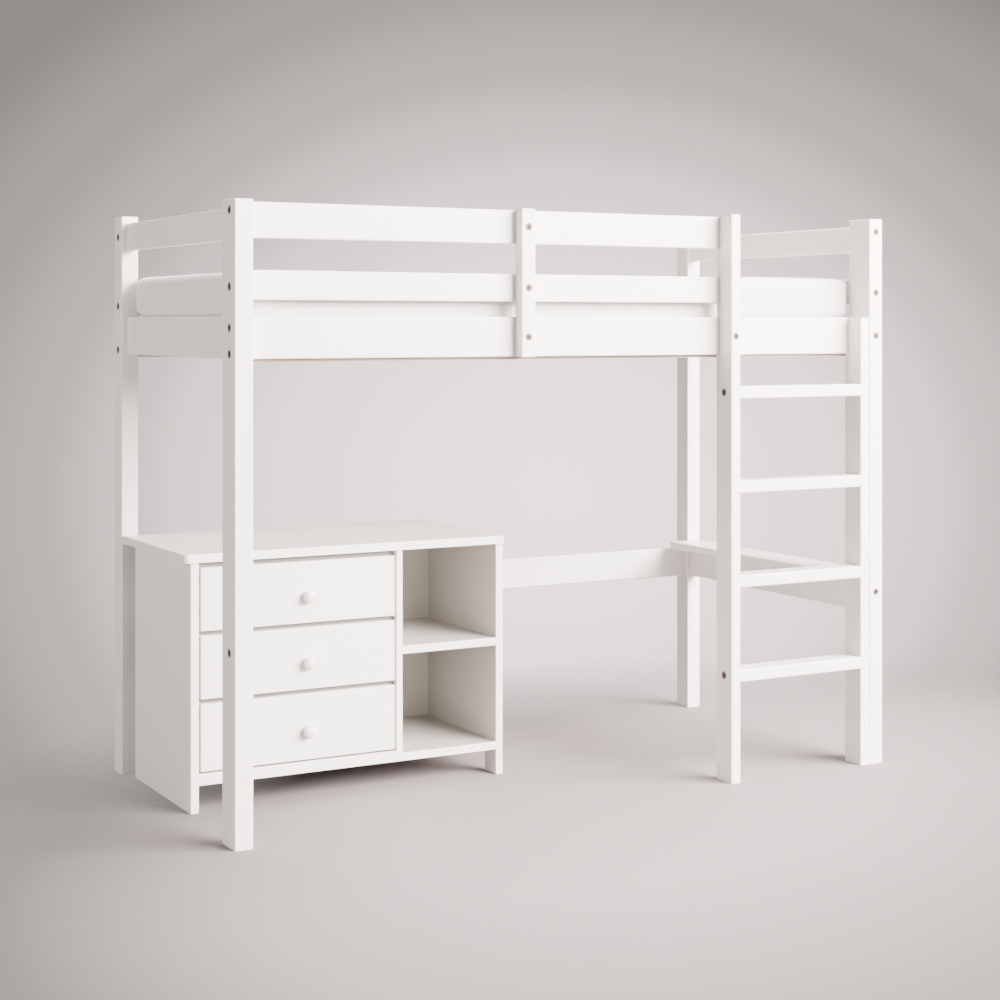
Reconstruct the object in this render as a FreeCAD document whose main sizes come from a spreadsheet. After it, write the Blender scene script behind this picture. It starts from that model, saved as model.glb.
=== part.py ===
"""A loft bed with guard rails, a fixed ladder and a chest of drawers below it.

Millimetres, +Z up. The origin is on the floor under the middle of the bed, X runs along the bed from its
left end to its right end, and the ladder stands at the front, towards -Y.
"""
import FreeCAD
import Part
import Sketcher
import math
import os
import re

# Driving sizes
SIZES = {
    # Whole bed
    "bed_length": 2114,
    "bed_depth": 1054,
    "post_height": 1683,
    # Corner posts
    "post_width": 52,
    "front_left_setback": 35,
    "front_left_depth": 92,
    "front_right_depth": 98,
    "back_post_depth": 70,
    "post_round": 4,
    "post_top_chamfer": 2,
    # Rails
    "rail_thickness": 27,
    "rail_round": 4,
    "front_rail_setback": 60,
    "left_rail_setback": 18,
    "bed_rail_drop": 416,
    "bed_rail_height": 112,
    "lower_guard_gap": 42,
    "lower_guard_height": 78,
    "upper_guard_drop": 5,
    "upper_guard_height": 95,
    "end_guard_drop": 20,
    "end_guard_height": 83,
    "back_stop_gap": 5,
    "back_stop_height": 58,
    "lower_rail_bottom": 466,
    "lower_rail_height": 100,
    "ledge_width": 125,
    "ledge_thickness": 26,
    # Mortise and tenon joints
    "tenon_thickness": 14,
    "tenon_shoulder": 12,
    "long_tenon": 15,
    "left_tenon": 24,
    "guard_tenon_end": 13,
    "right_tenon_share": 0.85,
    "joint_gap": 0.2,
    "joint_end_gap": 0.5,
    # Guard post on the front rails
    "guard_post_offset": 843,
    "guard_post_width": 45,
    "guard_post_thickness": 37,
    "guard_post_drop": 2,
    # Ladder
    "stile_width": 34,
    "stile_depth": 75,
    "ladder_clear_width": 453,
    "rung_thickness": 37,
    "first_rung_top": 334,
    "top_rung_drop": 93,
    "rung_housing": 8,
    "rung_round": 5,
    # Slatted base and mattress
    "batten_thickness": 27,
    "batten_height": 48,
    "batten_drop": 8,
    "slat_width": 70,
    "slat_thickness": 18,
    "slat_margin": 60,
    "slat_end_gap": 1,
    "mattress_end_gap": 5,
    "mattress_side_gap": 9.25,
    "mattress_thickness": 174,
    "mattress_corner": 42,
    "mattress_edge": 26,
    "mattress_draw_in": 5,
    "mattress_crown": 8,
    "mattress_crown_reach": 230,
    "mattress_gap": 0.3,
    # Bolts, their barrel nuts and the guard rail screws
    "bolt_shank": 8,
    "bolt_head": 17,
    "bolt_head_height": 6,
    "bolt_bore": 9.4,
    "bolt_sink": 18.4,
    "bolt_sink_depth": 7,
    "bolt_end_gap": 2,
    "bolt_grip": 60,
    "bolt_blind_grip": 20,
    "bolt_wall": 6,
    "spare_bolt_height": 505,
    "nut_diameter": 14,
    "nut_bore": 15,
    "nut_length": 20,
    "nut_back": 12,
    "screw_shank": 5,
    "screw_head": 10,
    "screw_head_height": 4,
    "screw_bore": 6,
    "screw_sink": 11,
    "screw_sink_depth": 4,
    "screw_end_gap": 1,
    "screw_grip": 35,
    "bed_bolt_low_share": 0.12,
    "bed_bolt_high_share": 0.73,
    "upper_guard_bolt_share": 0.76,
    "lower_guard_bolt_share": 0.45,
    "end_guard_bolt_share": 0.77,
    "lower_rail_bolt_share": 0.65,
    "screw_low_share": 0.3,
    "screw_high_share": 0.7,
    # Chest of drawers
    "chest_offset": 26,
    "chest_setback": 442,
    "chest_width": 988,
    "chest_rear_gap": 53,
    "chest_height": 720,
    "chest_side": 24,
    "chest_top": 24,
    "chest_top_overhang": 21,
    "chest_top_lip": 6,
    "chest_top_corner": 18,
    "chest_round": 2,
    "chest_board": 24,
    "chest_divider": 20,
    "chest_back": 6,
    "chest_back_inset": 30,
    "foot_height": 75,
    "foot_depth": 69,
    "drawer_bay_width": 608,
    "shelf_bottom": 389,
    "base_rail_height": 8,
    "base_rail_depth": 20,
    "base_rail_setback": 2,
    # Drawers
    "drawer_side_gap": 6,
    "drawer_top_gap": 16,
    "drawer_gap": 13.5,
    "drawer_base_gap": 6,
    "upper_drawer_share": 0.326,
    "middle_drawer_share": 0.326,
    "drawer_front": 20,
    "drawer_front_round": 2,
    "drawer_rail_gap": 1,
    "drawer_rail_depth": 30,
    "drawer_rail_lap": 4,
    "drawer_run_gap": 4,
    "drawer_side": 14,
    "drawer_side_drop": 46,
    "drawer_back": 12,
    "drawer_back_gap": 12,
    "drawer_bottom": 6,
    "drawer_bottom_lift": 8,
    "drawer_groove": 6,
    "runner_thickness": 10,
    "runner_height": 14,
    "runner_gap": 0.3,
    "runner_end_gap": 4,
    # Knobs
    "knob_neck": 27,
    "knob_head": 38,
    "knob_face": 29,
    "knob_neck_length": 9,
    "knob_head_length": 14,
    "knob_face_length": 5,
    "knob_shift": 24,
    "knob_drop": 12,
}

# Counts and directions
RUNG_COUNT = 4
SLAT_COUNT = 13
EDGE_STEP_COUNT = 2
HEAD_SIDE_COUNT = 12
SHANK_SIDE_COUNT = 8
KNOB_SIDE_COUNT = 24
DRAWERS = ("upper", "middle", "lower")
EDGE_SIZES = {"Fillet": "Radius", "Chamfer": "Size"}
UNIT_SQUARE = ((0, 0), (1, 0), (1, 1), (0, 1))
CROWN_STEP_SHARES = ((0.3, 0.6), (1, 1))
PARALLEL_SHARE = 0.999
X_AXIS = FreeCAD.Vector(1, 0, 0)
Y_AXIS = FreeCAD.Vector(0, 1, 0)
Z_AXIS = FreeCAD.Vector(0, 0, 1)
QUARTER_TURN = 90
WAYS = {
    "+x": FreeCAD.Rotation(Y_AXIS, QUARTER_TURN),
    "-x": FreeCAD.Rotation(Y_AXIS, -QUARTER_TURN),
    "+y": FreeCAD.Rotation(X_AXIS, -QUARTER_TURN),
    "-y": FreeCAD.Rotation(X_AXIS, QUARTER_TURN),
    "+z": FreeCAD.Rotation(),
}

# Places and sizes that follow from the driving sizes
PLACES = {
    "left": "-bed_length / 2",
    "right": "bed_length / 2",
    "front": "-bed_depth / 2",
    "back": "bed_depth / 2",
    "left_inner": "left + post_width",
    "right_inner": "right - post_width",
    "front_left_front": "front + front_left_setback",
    "front_left_rear": "front_left_front + front_left_depth",
    "front_right_rear": "front + front_right_depth",
    "back_front": "back - back_post_depth",
    "rail_front": "front + front_rail_setback",
    "rail_rear": "rail_front + rail_thickness",
    "rail_middle": "rail_front + rail_thickness / 2",
    "back_rail_front": "back_front + (back_post_depth - rail_thickness) / 2",
    "back_rail_middle": "back_front + back_post_depth / 2",
    "left_rail_outer": "left + left_rail_setback",
    "left_guard_tenon": "back_post_depth / 2 + guard_tenon_end",
    "right_rail_inner": "right - (post_width + rail_thickness) / 2",
    "right_rail_middle": "right - post_width / 2",
    "right_tenon": "(front_right_rear - rail_middle - bolt_bore / 2) * right_tenon_share",
    "bed_rail_bottom": "post_height - bed_rail_drop",
    "bed_rail_top": "bed_rail_bottom + bed_rail_height",
    "bed_rail_centre": "bed_rail_bottom + bed_rail_height / 2",
    "lower_guard_bottom": "bed_rail_top + lower_guard_gap",
    "upper_guard_bottom": "post_height - upper_guard_drop - upper_guard_height",
    "end_guard_bottom": "post_height - end_guard_drop - end_guard_height",
    "back_stop_bottom": "bed_rail_top + back_stop_gap",
    "lower_rail_top": "lower_rail_bottom + lower_rail_height",
    "guard_post_left": "left + guard_post_offset",
    "guard_post_front": "rail_front - guard_post_thickness",
    "guard_post_centre": "guard_post_left + guard_post_width / 2",
    "right_stile_left": "right_inner - stile_width",
    "left_stile_right": "right_stile_left - ladder_clear_width",
    "left_stile_left": "left_stile_right - stile_width",
    "left_stile_centre": "left_stile_left + stile_width / 2",
    "stile_rear": "front + stile_depth",
    "stile_notch": "stile_rear - rail_front",
    "stile_centre": "front + stile_depth / 2",
    "rung_pitch": f"(bed_rail_bottom - top_rung_drop - first_rung_top) / {RUNG_COUNT - 1}",
    "batten_bottom": "bed_rail_bottom - batten_drop",
    "batten_top": "batten_bottom + batten_height",
    "slat_top": "batten_top + slat_thickness",
    "slat_pitch": f"(right_inner - left_inner - 2 * slat_margin - slat_width) / {SLAT_COUNT - 1}",
    "bed_long_clear": "right_inner - left_inner",
    "bed_cross_clear": "back_rail_front - rail_rear",
    "bed_cross_middle": "(back_rail_front + rail_rear) / 2",
    "mattress_length": "bed_long_clear - 2 * mattress_end_gap",
    "mattress_width": "bed_cross_clear - 2 * mattress_side_gap",
    "bed_bolt_low": "bed_rail_bottom + bed_bolt_low_share * bed_rail_height",
    "bed_bolt_high": "bed_rail_bottom + bed_bolt_high_share * bed_rail_height",
    "upper_guard_bolt": "upper_guard_bottom + upper_guard_bolt_share * upper_guard_height",
    "lower_guard_bolt": "lower_guard_bottom + lower_guard_bolt_share * lower_guard_height",
    "end_guard_bolt": "end_guard_bottom + end_guard_bolt_share * end_guard_height",
    "lower_rail_bolt": "lower_rail_bottom + lower_rail_bolt_share * lower_rail_height",
    "end_guard_centre": "end_guard_bottom + end_guard_height / 2",
    "back_stop_centre": "back_stop_bottom + back_stop_height / 2",
    "upper_guard_centre": "upper_guard_bottom + upper_guard_height / 2",
    "lower_guard_centre": "lower_guard_bottom + lower_guard_height / 2",
    "chest_left": "left + chest_offset",
    "chest_right": "chest_left + chest_width",
    "chest_front": "front + chest_setback",
    "chest_rear": "back_front - chest_rear_gap",
    "chest_depth": "chest_rear - chest_front",
    "chest_back_front": "chest_rear - chest_back_inset - chest_back",
    "chest_inner_depth": "chest_back_front - chest_front",
    "chest_under_top": "chest_height - chest_top",
    "chest_inner_left": "chest_left + chest_side",
    "chest_inner_right": "chest_right - chest_side",
    "chest_floor": "foot_height + chest_board",
    "divider_left": "chest_inner_left + drawer_bay_width",
    "divider_right": "divider_left + chest_divider",
    "base_rail_top": "chest_floor + base_rail_height",
    "drawers_room": "chest_under_top - base_rail_top - drawer_top_gap - 2 * drawer_gap - drawer_base_gap",
    "upper_drawer_height": "drawers_room * upper_drawer_share",
    "middle_drawer_height": "drawers_room * middle_drawer_share",
    "lower_drawer_height": "drawers_room - upper_drawer_height - middle_drawer_height",
    "upper_drawer_bottom": "chest_under_top - drawer_top_gap - upper_drawer_height",
    "middle_drawer_bottom": "upper_drawer_bottom - drawer_gap - middle_drawer_height",
    "lower_drawer_bottom": "base_rail_top + drawer_base_gap",
    "drawer_left": "chest_inner_left + drawer_side_gap",
    "drawer_width": "drawer_bay_width - 2 * drawer_side_gap",
    "drawer_right": "drawer_left + drawer_width",
    "drawer_box_front": "chest_front + drawer_front",
    "drawer_box_length": "chest_back_front - drawer_back_gap - drawer_box_front",
    "drawer_inner_left": "drawer_left + drawer_side",
    "drawer_inner_width": "drawer_width - 2 * drawer_side",
    "drawer_side_lift": "drawer_rail_lap + drawer_run_gap",
    "drawer_rail_front": "drawer_box_front + drawer_rail_gap",
    "runner_front": "drawer_rail_front + drawer_rail_depth",
    "runner_length": "chest_back_front - runner_end_gap - runner_front",
    "runner_groove": "runner_thickness - drawer_side_gap + runner_gap",
    "groove_tongue": "drawer_groove - joint_gap",
}

doc = FreeCAD.newDocument("loft_bed")
sheet = doc.addObject("Spreadsheet::Sheet", "sizes")
for row, (alias, value) in enumerate(SIZES.items(), start=1):
    sheet.set(f"A{row}", str(value))
    sheet.setAlias(f"A{row}", alias)
doc.recompute()

pieces = []


def formula(text):
    """Spell a formula out until every word in it is a cell of the sheet."""

    def spell(match):
        word = match.group()
        return f"({formula(PLACES[word])})" if word in PLACES else f"sizes.{word}"

    return re.sub(r"[a-z][a-z_]*", spell, text)


def amount(text):
    """The value of a formula, in millimetres."""
    return float(sheet.evalExpression(formula(text)))


def bind(thing, **formulas):
    """Tie properties of an object to formulas."""
    for name, text in formulas.items():
        thing.setExpression(name, formula(text))


def bind_place(thing, at):
    """Tie an object's place to three formulas."""
    for axis, text in zip("xyz", at):
        thing.setExpression(f"Placement.Base.{axis}", formula(text))


def sign_and_axis(way):
    """The sign of a way, and which of the three places it changes."""
    sign, letter = way
    return sign, "xyz".index(letter)


def along(at, way, distance):
    """The point that lies a distance from another one, along one of the six ways."""
    sign, axis = sign_and_axis(way)
    moved = list(at)
    moved[axis] = f"({at[axis]}) {sign} ({distance})"
    return tuple(moved)


def plane_of(body, role):
    """One of a body's own origin planes."""
    return next(plane for plane in body.Origin.OriginFeatures if plane.Role == role)


def attached_sketch(body, role):
    """A new sketch on one of a body's origin planes."""
    sketch = body.newObject("Sketcher::SketchObject", "outline")
    sketch.AttachmentSupport = (plane_of(body, role), [""])
    sketch.MapMode = "FlatFace"
    return sketch


def measure(sketch, name, text, *where):
    """Add a dimension to a sketch and tie it to a formula."""
    index = sketch.addConstraint(Sketcher.Constraint(*where, amount(text)))
    sketch.renameConstraint(index, name)
    sketch.setExpression(f"Constraints.{name}", formula(text))


def rectangle(body, width, depth):
    """A sketched rectangle with one corner on the body's origin."""
    sketch = attached_sketch(body, "XY_Plane")
    corners = [FreeCAD.Vector(x * amount(width), y * amount(depth)) for x, y in UNIT_SQUARE]
    for start, end in zip(corners, corners[1:] + corners[:1]):
        sketch.addGeometry(Part.LineSegment(start, end), False)
    for side in range(len(corners)):
        following = (side + 1) % len(corners)
        sketch.addConstraint(Sketcher.Constraint("Coincident", side, 2, following, 1))
        sketch.addConstraint(Sketcher.Constraint("Vertical" if side % 2 else "Horizontal", side))
    sketch.addConstraint(Sketcher.Constraint("Coincident", 0, 1, -1, 1))
    measure(sketch, "width", width, "DistanceX", 0, 1, 0, 2)
    measure(sketch, "depth", depth, "DistanceY", 1, 1, 1, 2)
    return sketch


def runs_along(edge, axis):
    """Whether an edge is straight and parallel to an axis."""
    if edge.Curve.TypeId != "Part::GeomLine":
        return False
    return abs(edge.Curve.Direction.dot(axis)) > PARALLEL_SHARE


def edges_along(axis):
    """A test for a board's edges that run along an axis."""
    return lambda edge, box: runs_along(edge, axis)


def front_edges_along(axis):
    """A test for the edges along an axis that lie on a board's front face."""
    return lambda edge, box: runs_along(edge, axis) and edge.BoundBox.YMax <= box.YMin


def is_front_edge(edge, box):
    """Whether an edge lies on a board's front face."""
    return edge.BoundBox.YMax <= box.YMin


def is_top_edge(edge, box):
    """Whether an edge lies on a board's top face."""
    return edge.BoundBox.ZMin >= box.ZMax


class Board:
    """One sawn piece: a rectangle padded to its height, with its low corner at a place in the bed."""

    def __init__(self, label, at, size):
        self.body = doc.addObject("PartDesign::Body", label)
        self.at = at
        self.size = size
        outline = rectangle(self.body, size[0], size[1])
        pad = self.body.newObject("PartDesign::Pad", "pad")
        pad.Profile = outline
        bind(pad, Length=size[2])
        bind_place(self.body, at)
        pieces.append(self.body)

    def local(self, at):
        """A place in the bed, counted from the board's low corner."""
        return tuple(f"({place}) - ({corner})" for place, corner in zip(at, self.at))

    def block(self, kind, name, at, size):
        """A box that is added to the board or taken from it."""
        box = self.body.newObject(f"PartDesign::{kind}Box", name)
        bind(box, Length=size[0], Width=size[1], Height=size[2])
        bind_place(box, self.local(at))

    def add(self, name, at, size):
        """Add a box, such as a tenon."""
        self.block("Additive", name, at, size)

    def cut(self, name, at, size):
        """Take a box away, such as a mortise, a notch or a groove."""
        self.block("Subtractive", name, at, size)

    def bore(self, name, at, way, diameter, depth, sides=SHANK_SIDE_COUNT):
        """Drill a hole from a point, along one of the six ways. Bolt holes repeat, so they have few sides."""
        hole = self.body.newObject("PartDesign::SubtractivePrism", name)
        hole.Polygon = sides
        hole.Placement = FreeCAD.Placement(FreeCAD.Vector(), WAYS[way])
        bind(hole, Circumradius=f"({diameter}) / 2", Height=depth)
        bind_place(hole, self.local(at))

    def dress(self, kind, size, chosen):
        """Fillet or chamfer the edges of the board that a test picks out."""
        doc.recompute()
        base = self.body.Tip
        edges = enumerate(base.Shape.Edges, start=1)
        names = [f"Edge{number}" for number, edge in edges if chosen(edge, base.Shape.BoundBox)]
        dressing = self.body.newObject(f"PartDesign::{kind}", "edges")
        dressing.Base = (base, names)
        bind(dressing, **{EDGE_SIZES[kind]: size})


def post(label, x, y, depth):
    """A corner post, rounded on its upright edges and chamfered round its top."""
    board = Board(label, (x, y, "0"), ("post_width", depth, "post_height"))
    board.dress("Fillet", "post_round", edges_along(Z_AXIS))
    board.dress("Chamfer", "post_top_chamfer", is_top_edge)
    return board


def mortise(board, name, at, size, way, length):
    """A slot for a tenon, wider than it all round by the joint's gap and deeper by the end gap."""
    sign, axis = sign_and_axis(way)
    slot_at = [f"({place}) - joint_gap" for place in at]
    slot_size = [f"({extent}) + 2 * joint_gap" for extent in size]
    slot_at[axis] = at[axis] if sign == "+" else f"({at[axis]}) - joint_end_gap"
    slot_size[axis] = f"{length} + joint_end_gap"
    board.cut(name, slot_at, slot_size)


def tenon(rail, board, name, way, length):
    """A tenon on one end of a rail, along +x, -x, +y or -y, and the mortise for it in a post."""
    sign, axis = sign_and_axis(way)
    across = 1 - axis
    at = list(rail.at)
    size = list(rail.size)
    at[axis] = f"({at[axis]}) + ({size[axis]})" if sign == "+" else f"({at[axis]}) - {length}"
    size[axis] = length
    at[across] = f"({at[across]}) + ({size[across]} - tenon_thickness) / 2"
    size[across] = "tenon_thickness"
    at[2] = f"({at[2]}) + tenon_shoulder"
    size[2] = f"({size[2]}) - 2 * tenon_shoulder"
    rail.add(f"{name}_tenon", at, size)
    mortise(board, f"{rail.body.Label}_{name}_mortise", at, size, way, length)


def long_rail(label, y, z, height, end, edges, left_post, right_post=None):
    """A rail along the bed, tenoned into the left post and, where it reaches it, into the right one."""
    rail = Board(label, ("left_inner", y, z), (f"{end} - left_inner", "rail_thickness", height))
    rail.dress(edges, "rail_round", edges_along(X_AXIS))
    tenon(rail, left_post, "left", "-x", "long_tenon")
    if right_post:
        tenon(rail, right_post, "right", "+x", "long_tenon")
    return rail


def end_rail(label, x, y, tenon_lengths, edges, z, height, front_post, back_post):
    """A rail across one end of the bed, tenoned into the front and back posts."""
    rail = Board(label, (x, y, z), ("rail_thickness", f"back_front - {y}", height))
    rail.dress(edges, "rail_round", edges_along(Y_AXIS))
    front_length, back_length = tenon_lengths
    tenon(rail, front_post, "front", "-y", front_length)
    tenon(rail, back_post, "back", "+y", back_length)
    return rail


def gather(label, solids):
    """Put like solids into one group."""
    group = doc.addObject("Part::Compound", label)
    group.Links = solids
    pieces.append(group)


class Fasteners:
    """Groups of loose solids: the bolts, their barrel nuts and the guard rail screws."""

    def __init__(self):
        self.solids = {"bolt": [], "nut": [], "screw": []}

    def rod(self, name, diameter, start, length, sides=SHANK_SIDE_COUNT):
        """A rod along its own axis, with as few sides as its hole has."""
        solid = doc.addObject("Part::Prism", name)
        solid.Polygon = sides
        bind(solid, Circumradius=f"({diameter}) / 2", Height=length)
        bind_place(solid, ("0", "0", start))
        return solid

    def drive(self, kind, name, at, way, held, reach):
        """Set a bolt or a screw from a face point, its head sunk in the first of the pieces that it holds."""
        held[0].bore(f"{name}_sink", at, way, f"{kind}_sink", f"{kind}_sink_depth", HEAD_SIDE_COUNT)
        for board in held:
            board.bore(f"{name}_hole", at, way, f"{kind}_bore", reach)
        head_start = f"{kind}_sink_depth - {kind}_head_height"
        head = self.rod(f"{name}_head", f"{kind}_head", head_start, f"{kind}_head_height", HEAD_SIDE_COUNT)
        shank_length = f"({reach}) - {kind}_end_gap - {kind}_sink_depth"
        shank = self.rod(f"{name}_shank", f"{kind}_shank", f"{kind}_sink_depth", shank_length)
        whole = doc.addObject("Part::Fuse", name)
        whole.Base = head
        whole.Tool = shank
        whole.Placement = FreeCAD.Placement(FreeCAD.Vector(), WAYS[way])
        bind_place(whole, at)
        self.solids[kind].append(whole)

    def catch(self, name, at, way, board, reach, nut_way, cover):
        """Set a barrel nut across the end of a bolt, pushed into the board from one of its faces."""
        centre = along(at, way, f"({reach}) - nut_back")
        board.bore(f"{name}_nut_hole", along(centre, nut_way, f"-({cover})"), nut_way, "nut_bore",
                   f"{cover} + nut_length / 2")
        barrel = self.rod(f"{name}_barrel", "nut_diameter", "0", "nut_length")
        barrel.Placement = FreeCAD.Placement(FreeCAD.Vector(), WAYS[nut_way])
        bind_place(barrel, along(centre, nut_way, "-nut_length / 2"))
        thread = self.rod(f"{name}_thread", "bolt_bore", "0", "2 * nut_diameter")
        thread.Placement = FreeCAD.Placement(FreeCAD.Vector(), WAYS[way])
        bind_place(thread, along(centre, way, "-nut_diameter"))
        nut = doc.addObject("Part::Cut", f"{name}_nut")
        nut.Base = barrel
        nut.Tool = thread
        self.solids["nut"].append(nut)


def make_posts():
    """The four corner posts: the front pair is deeper, and the left one stands back from the ladder."""
    return {
        "front_left": post("front_left_post", "left", "front_left_front", "front_left_depth"),
        "front_right": post("front_right_post", "right_inner", "front", "front_right_depth"),
        "back_left": post("back_left_post", "left", "back_front", "back_post_depth"),
        "back_right": post("back_right_post", "right_inner", "back_front", "back_post_depth"),
    }


def make_long_rails(posts):
    """The rails along the front and the back. The guard rails end in the ladder's left stile."""
    front_left, front_right = posts["front_left"], posts["front_right"]
    back_left, back_right = posts["back_left"], posts["back_right"]
    return {
        "front_bed": long_rail("front_bed_rail", "rail_front", "bed_rail_bottom", "bed_rail_height",
                               "right_inner", "Fillet", front_left, front_right),
        "upper_guard": long_rail("front_guard_rail_upper", "rail_front", "upper_guard_bottom",
                                 "upper_guard_height", "left_stile_right", "Fillet", front_left),
        "lower_guard": long_rail("front_guard_rail_lower", "rail_front", "lower_guard_bottom",
                                 "lower_guard_height", "left_stile_right", "Fillet", front_left),
        "back_bed": long_rail("back_bed_rail", "back_rail_front", "bed_rail_bottom", "bed_rail_height",
                              "right_inner", "Chamfer", back_left, back_right),
        "back_stop": long_rail("back_stop_rail", "back_rail_front", "back_stop_bottom", "back_stop_height",
                               "right_inner", "Chamfer", back_left, back_right),
        "back_lower": long_rail("back_lower_rail", "back_rail_front", "lower_rail_bottom",
                                "lower_rail_height", "right_inner", "Chamfer", back_left, back_right),
    }


def make_end_rails(posts):
    """The rails across both ends, and the ledge board that lies on the lower right one."""
    left_pair = posts["front_left"], posts["back_left"]
    right_pair = posts["front_right"], posts["back_right"]
    left_place = "left_rail_outer", "front_left_rear"
    right_place = "right_rail_inner", "front_right_rear", ("right_tenon", "right_tenon"), "Chamfer"
    rails = {
        "left_bed": end_rail("left_end_bed_rail", *left_place, ("left_tenon", "left_tenon"), "Fillet",
                             "bed_rail_bottom", "bed_rail_height", *left_pair),
        "left_guard": end_rail("left_end_guard_rail", *left_place, ("left_tenon", "left_guard_tenon"),
                               "Fillet", "end_guard_bottom", "end_guard_height", *left_pair),
        "right_bed": end_rail("right_end_bed_rail", *right_place, "bed_rail_bottom", "bed_rail_height",
                              *right_pair),
        "right_guard": end_rail("right_end_guard_rail_upper", *right_place, "end_guard_bottom",
                                "end_guard_height", *right_pair),
        "right_guard_lower": end_rail("right_end_guard_rail_lower", *right_place, "lower_guard_bottom",
                                      "lower_guard_height", *right_pair),
        "right_lower": end_rail("right_end_lower_rail", *right_place, "lower_rail_bottom",
                                "lower_rail_height", *right_pair),
    }
    ledge = Board("end_ledge", ("right - ledge_width", "front_right_rear", "lower_rail_top"),
                  ("ledge_width", "back_front - front_right_rear", "ledge_thickness"))
    ledge.dress("Fillet", "rail_round", edges_along(Y_AXIS))
    return rails


def make_guard_post():
    """The short post that ties the three front rails together on their outer side."""
    board = Board("guard_post", ("guard_post_left", "guard_post_front", "bed_rail_bottom"),
                  ("guard_post_width", "guard_post_thickness",
                   "post_height - guard_post_drop - bed_rail_bottom"))
    board.dress("Fillet", "rail_round", front_edges_along(Z_AXIS))
    return board


def rung_bottom(number):
    """The height of a rung's underside, counted from the lowest rung, number 1."""
    return f"first_rung_top + {number - 1} * rung_pitch - rung_thickness"


def make_stile(label, x, height, inner_face):
    """A ladder stile, notched behind for the bed rail and housed for the rungs on its inner face."""
    stile = Board(label, (x, "front", "0"), ("stile_width", "stile_depth", height))
    stile.dress("Fillet", "rail_round", front_edges_along(Z_AXIS))
    stile.cut("bed_rail_notch", (x, "rail_front", "bed_rail_bottom"),
              ("stile_width", "stile_notch", "bed_rail_height"))
    for number in range(1, RUNG_COUNT + 1):
        stile.cut(f"rung_housing_{number}", (inner_face, "front", rung_bottom(number)),
                  ("rung_housing", "stile_depth", "rung_thickness"))
    return stile


def make_ladder():
    """The ladder: a tall left stile that also holds the guard rails, a short right one and the rungs."""
    left_stile = make_stile("ladder_stile_left", "left_stile_left", "post_height",
                            "left_stile_right - rung_housing")
    left_stile.cut("lower_guard_notch", ("left_stile_left", "rail_front", "lower_guard_bottom"),
                   ("stile_width", "stile_notch", "lower_guard_height"))
    left_stile.cut("upper_guard_notch", ("left_stile_left", "rail_front", "upper_guard_bottom"),
                   ("stile_width", "stile_notch", "post_height - upper_guard_bottom"))
    right_stile = make_stile("ladder_stile_right", "right_stile_left", "bed_rail_top", "right_stile_left")
    rungs = []
    for number in range(1, RUNG_COUNT + 1):
        rung = Board(f"ladder_rung_{number}",
                     ("left_stile_right - rung_housing", "front", rung_bottom(number)),
                     ("ladder_clear_width + 2 * rung_housing", "stile_depth", "rung_thickness"))
        rung.dress("Fillet", "rung_round", edges_along(X_AXIS))
        rungs.append(rung)
    return left_stile, right_stile, rungs


def make_slatted_base():
    """The two battens on the bed rails and the slats that lie across them."""
    for label, y in (("front", "rail_rear"), ("back", "back_rail_front - batten_thickness")):
        Board(f"slat_batten_{label}", ("left_inner", y, "batten_bottom"),
              ("bed_long_clear", "batten_thickness", "batten_height"))
    slats = []
    for number in range(SLAT_COUNT):
        slat = doc.addObject("Part::Box", f"slat_{number + 1}")
        bind(slat, Length="slat_width", Width="bed_cross_clear - 2 * slat_end_gap", Height="slat_thickness")
        bind_place(slat, (f"left_inner + slat_margin + {number} * slat_pitch", "rail_rear + slat_end_gap",
                          "batten_top"))
        slats.append(slat)
    gather("bed_slats", slats)


def mattress_section(inset, height):
    """A level outline of the mattress: four corner arcs and four long sides that draw in a little."""
    half_length = amount("mattress_length / 2") - inset
    half_width = amount("mattress_width / 2") - inset
    corner = amount("mattress_corner")
    draw_in = amount("mattress_draw_in")
    bend = corner * math.sqrt(2) / 2
    edges = []
    for turn in range(4):
        along_half, out_half = (half_length, half_width) if turn % 2 == 0 else (half_width, half_length)
        run, out = along_half - corner, out_half - corner
        spin = FreeCAD.Rotation(Z_AXIS, QUARTER_TURN * turn)
        start = spin.multVec(FreeCAD.Vector(-run, -out_half, height))
        middle = spin.multVec(FreeCAD.Vector(0, draw_in - out_half, height))
        end = spin.multVec(FreeCAD.Vector(run, -out_half, height))
        elbow = spin.multVec(FreeCAD.Vector(run + bend, -out - bend, height))
        last = spin.multVec(FreeCAD.Vector(along_half, -out, height))
        edges.append(Part.Arc(start, middle, end).toShape())
        edges.append(Part.Arc(end, elbow, last).toShape())
    return Part.Wire(edges)


def make_mattress():
    """The mattress: rounded edges above and below, sides that draw in, and a crown on top."""
    edge = amount("mattress_edge")
    crown = amount("mattress_crown")
    thickness = amount("mattress_thickness")
    steps = [step / EDGE_STEP_COUNT * math.pi / 2 for step in range(EDGE_STEP_COUNT + 1)]
    levels = [(edge * (1 - math.sin(turn)), edge * (1 - math.cos(turn))) for turn in steps]
    shoulder = thickness - crown
    levels += [(inset, shoulder - height) for inset, height in reversed(levels)]
    for reach_share, crown_share in CROWN_STEP_SHARES:
        levels.append((edge + reach_share * amount("mattress_crown_reach"), shoulder + crown_share * crown))
    solid = Part.makeLoft([mattress_section(*level) for level in levels], True, True)
    mattress = doc.addObject("Part::Feature", "mattress")
    mattress.Shape = solid
    bind_place(mattress, ("0", "bed_cross_middle", "slat_top + mattress_gap"))
    pieces.append(mattress)


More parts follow.
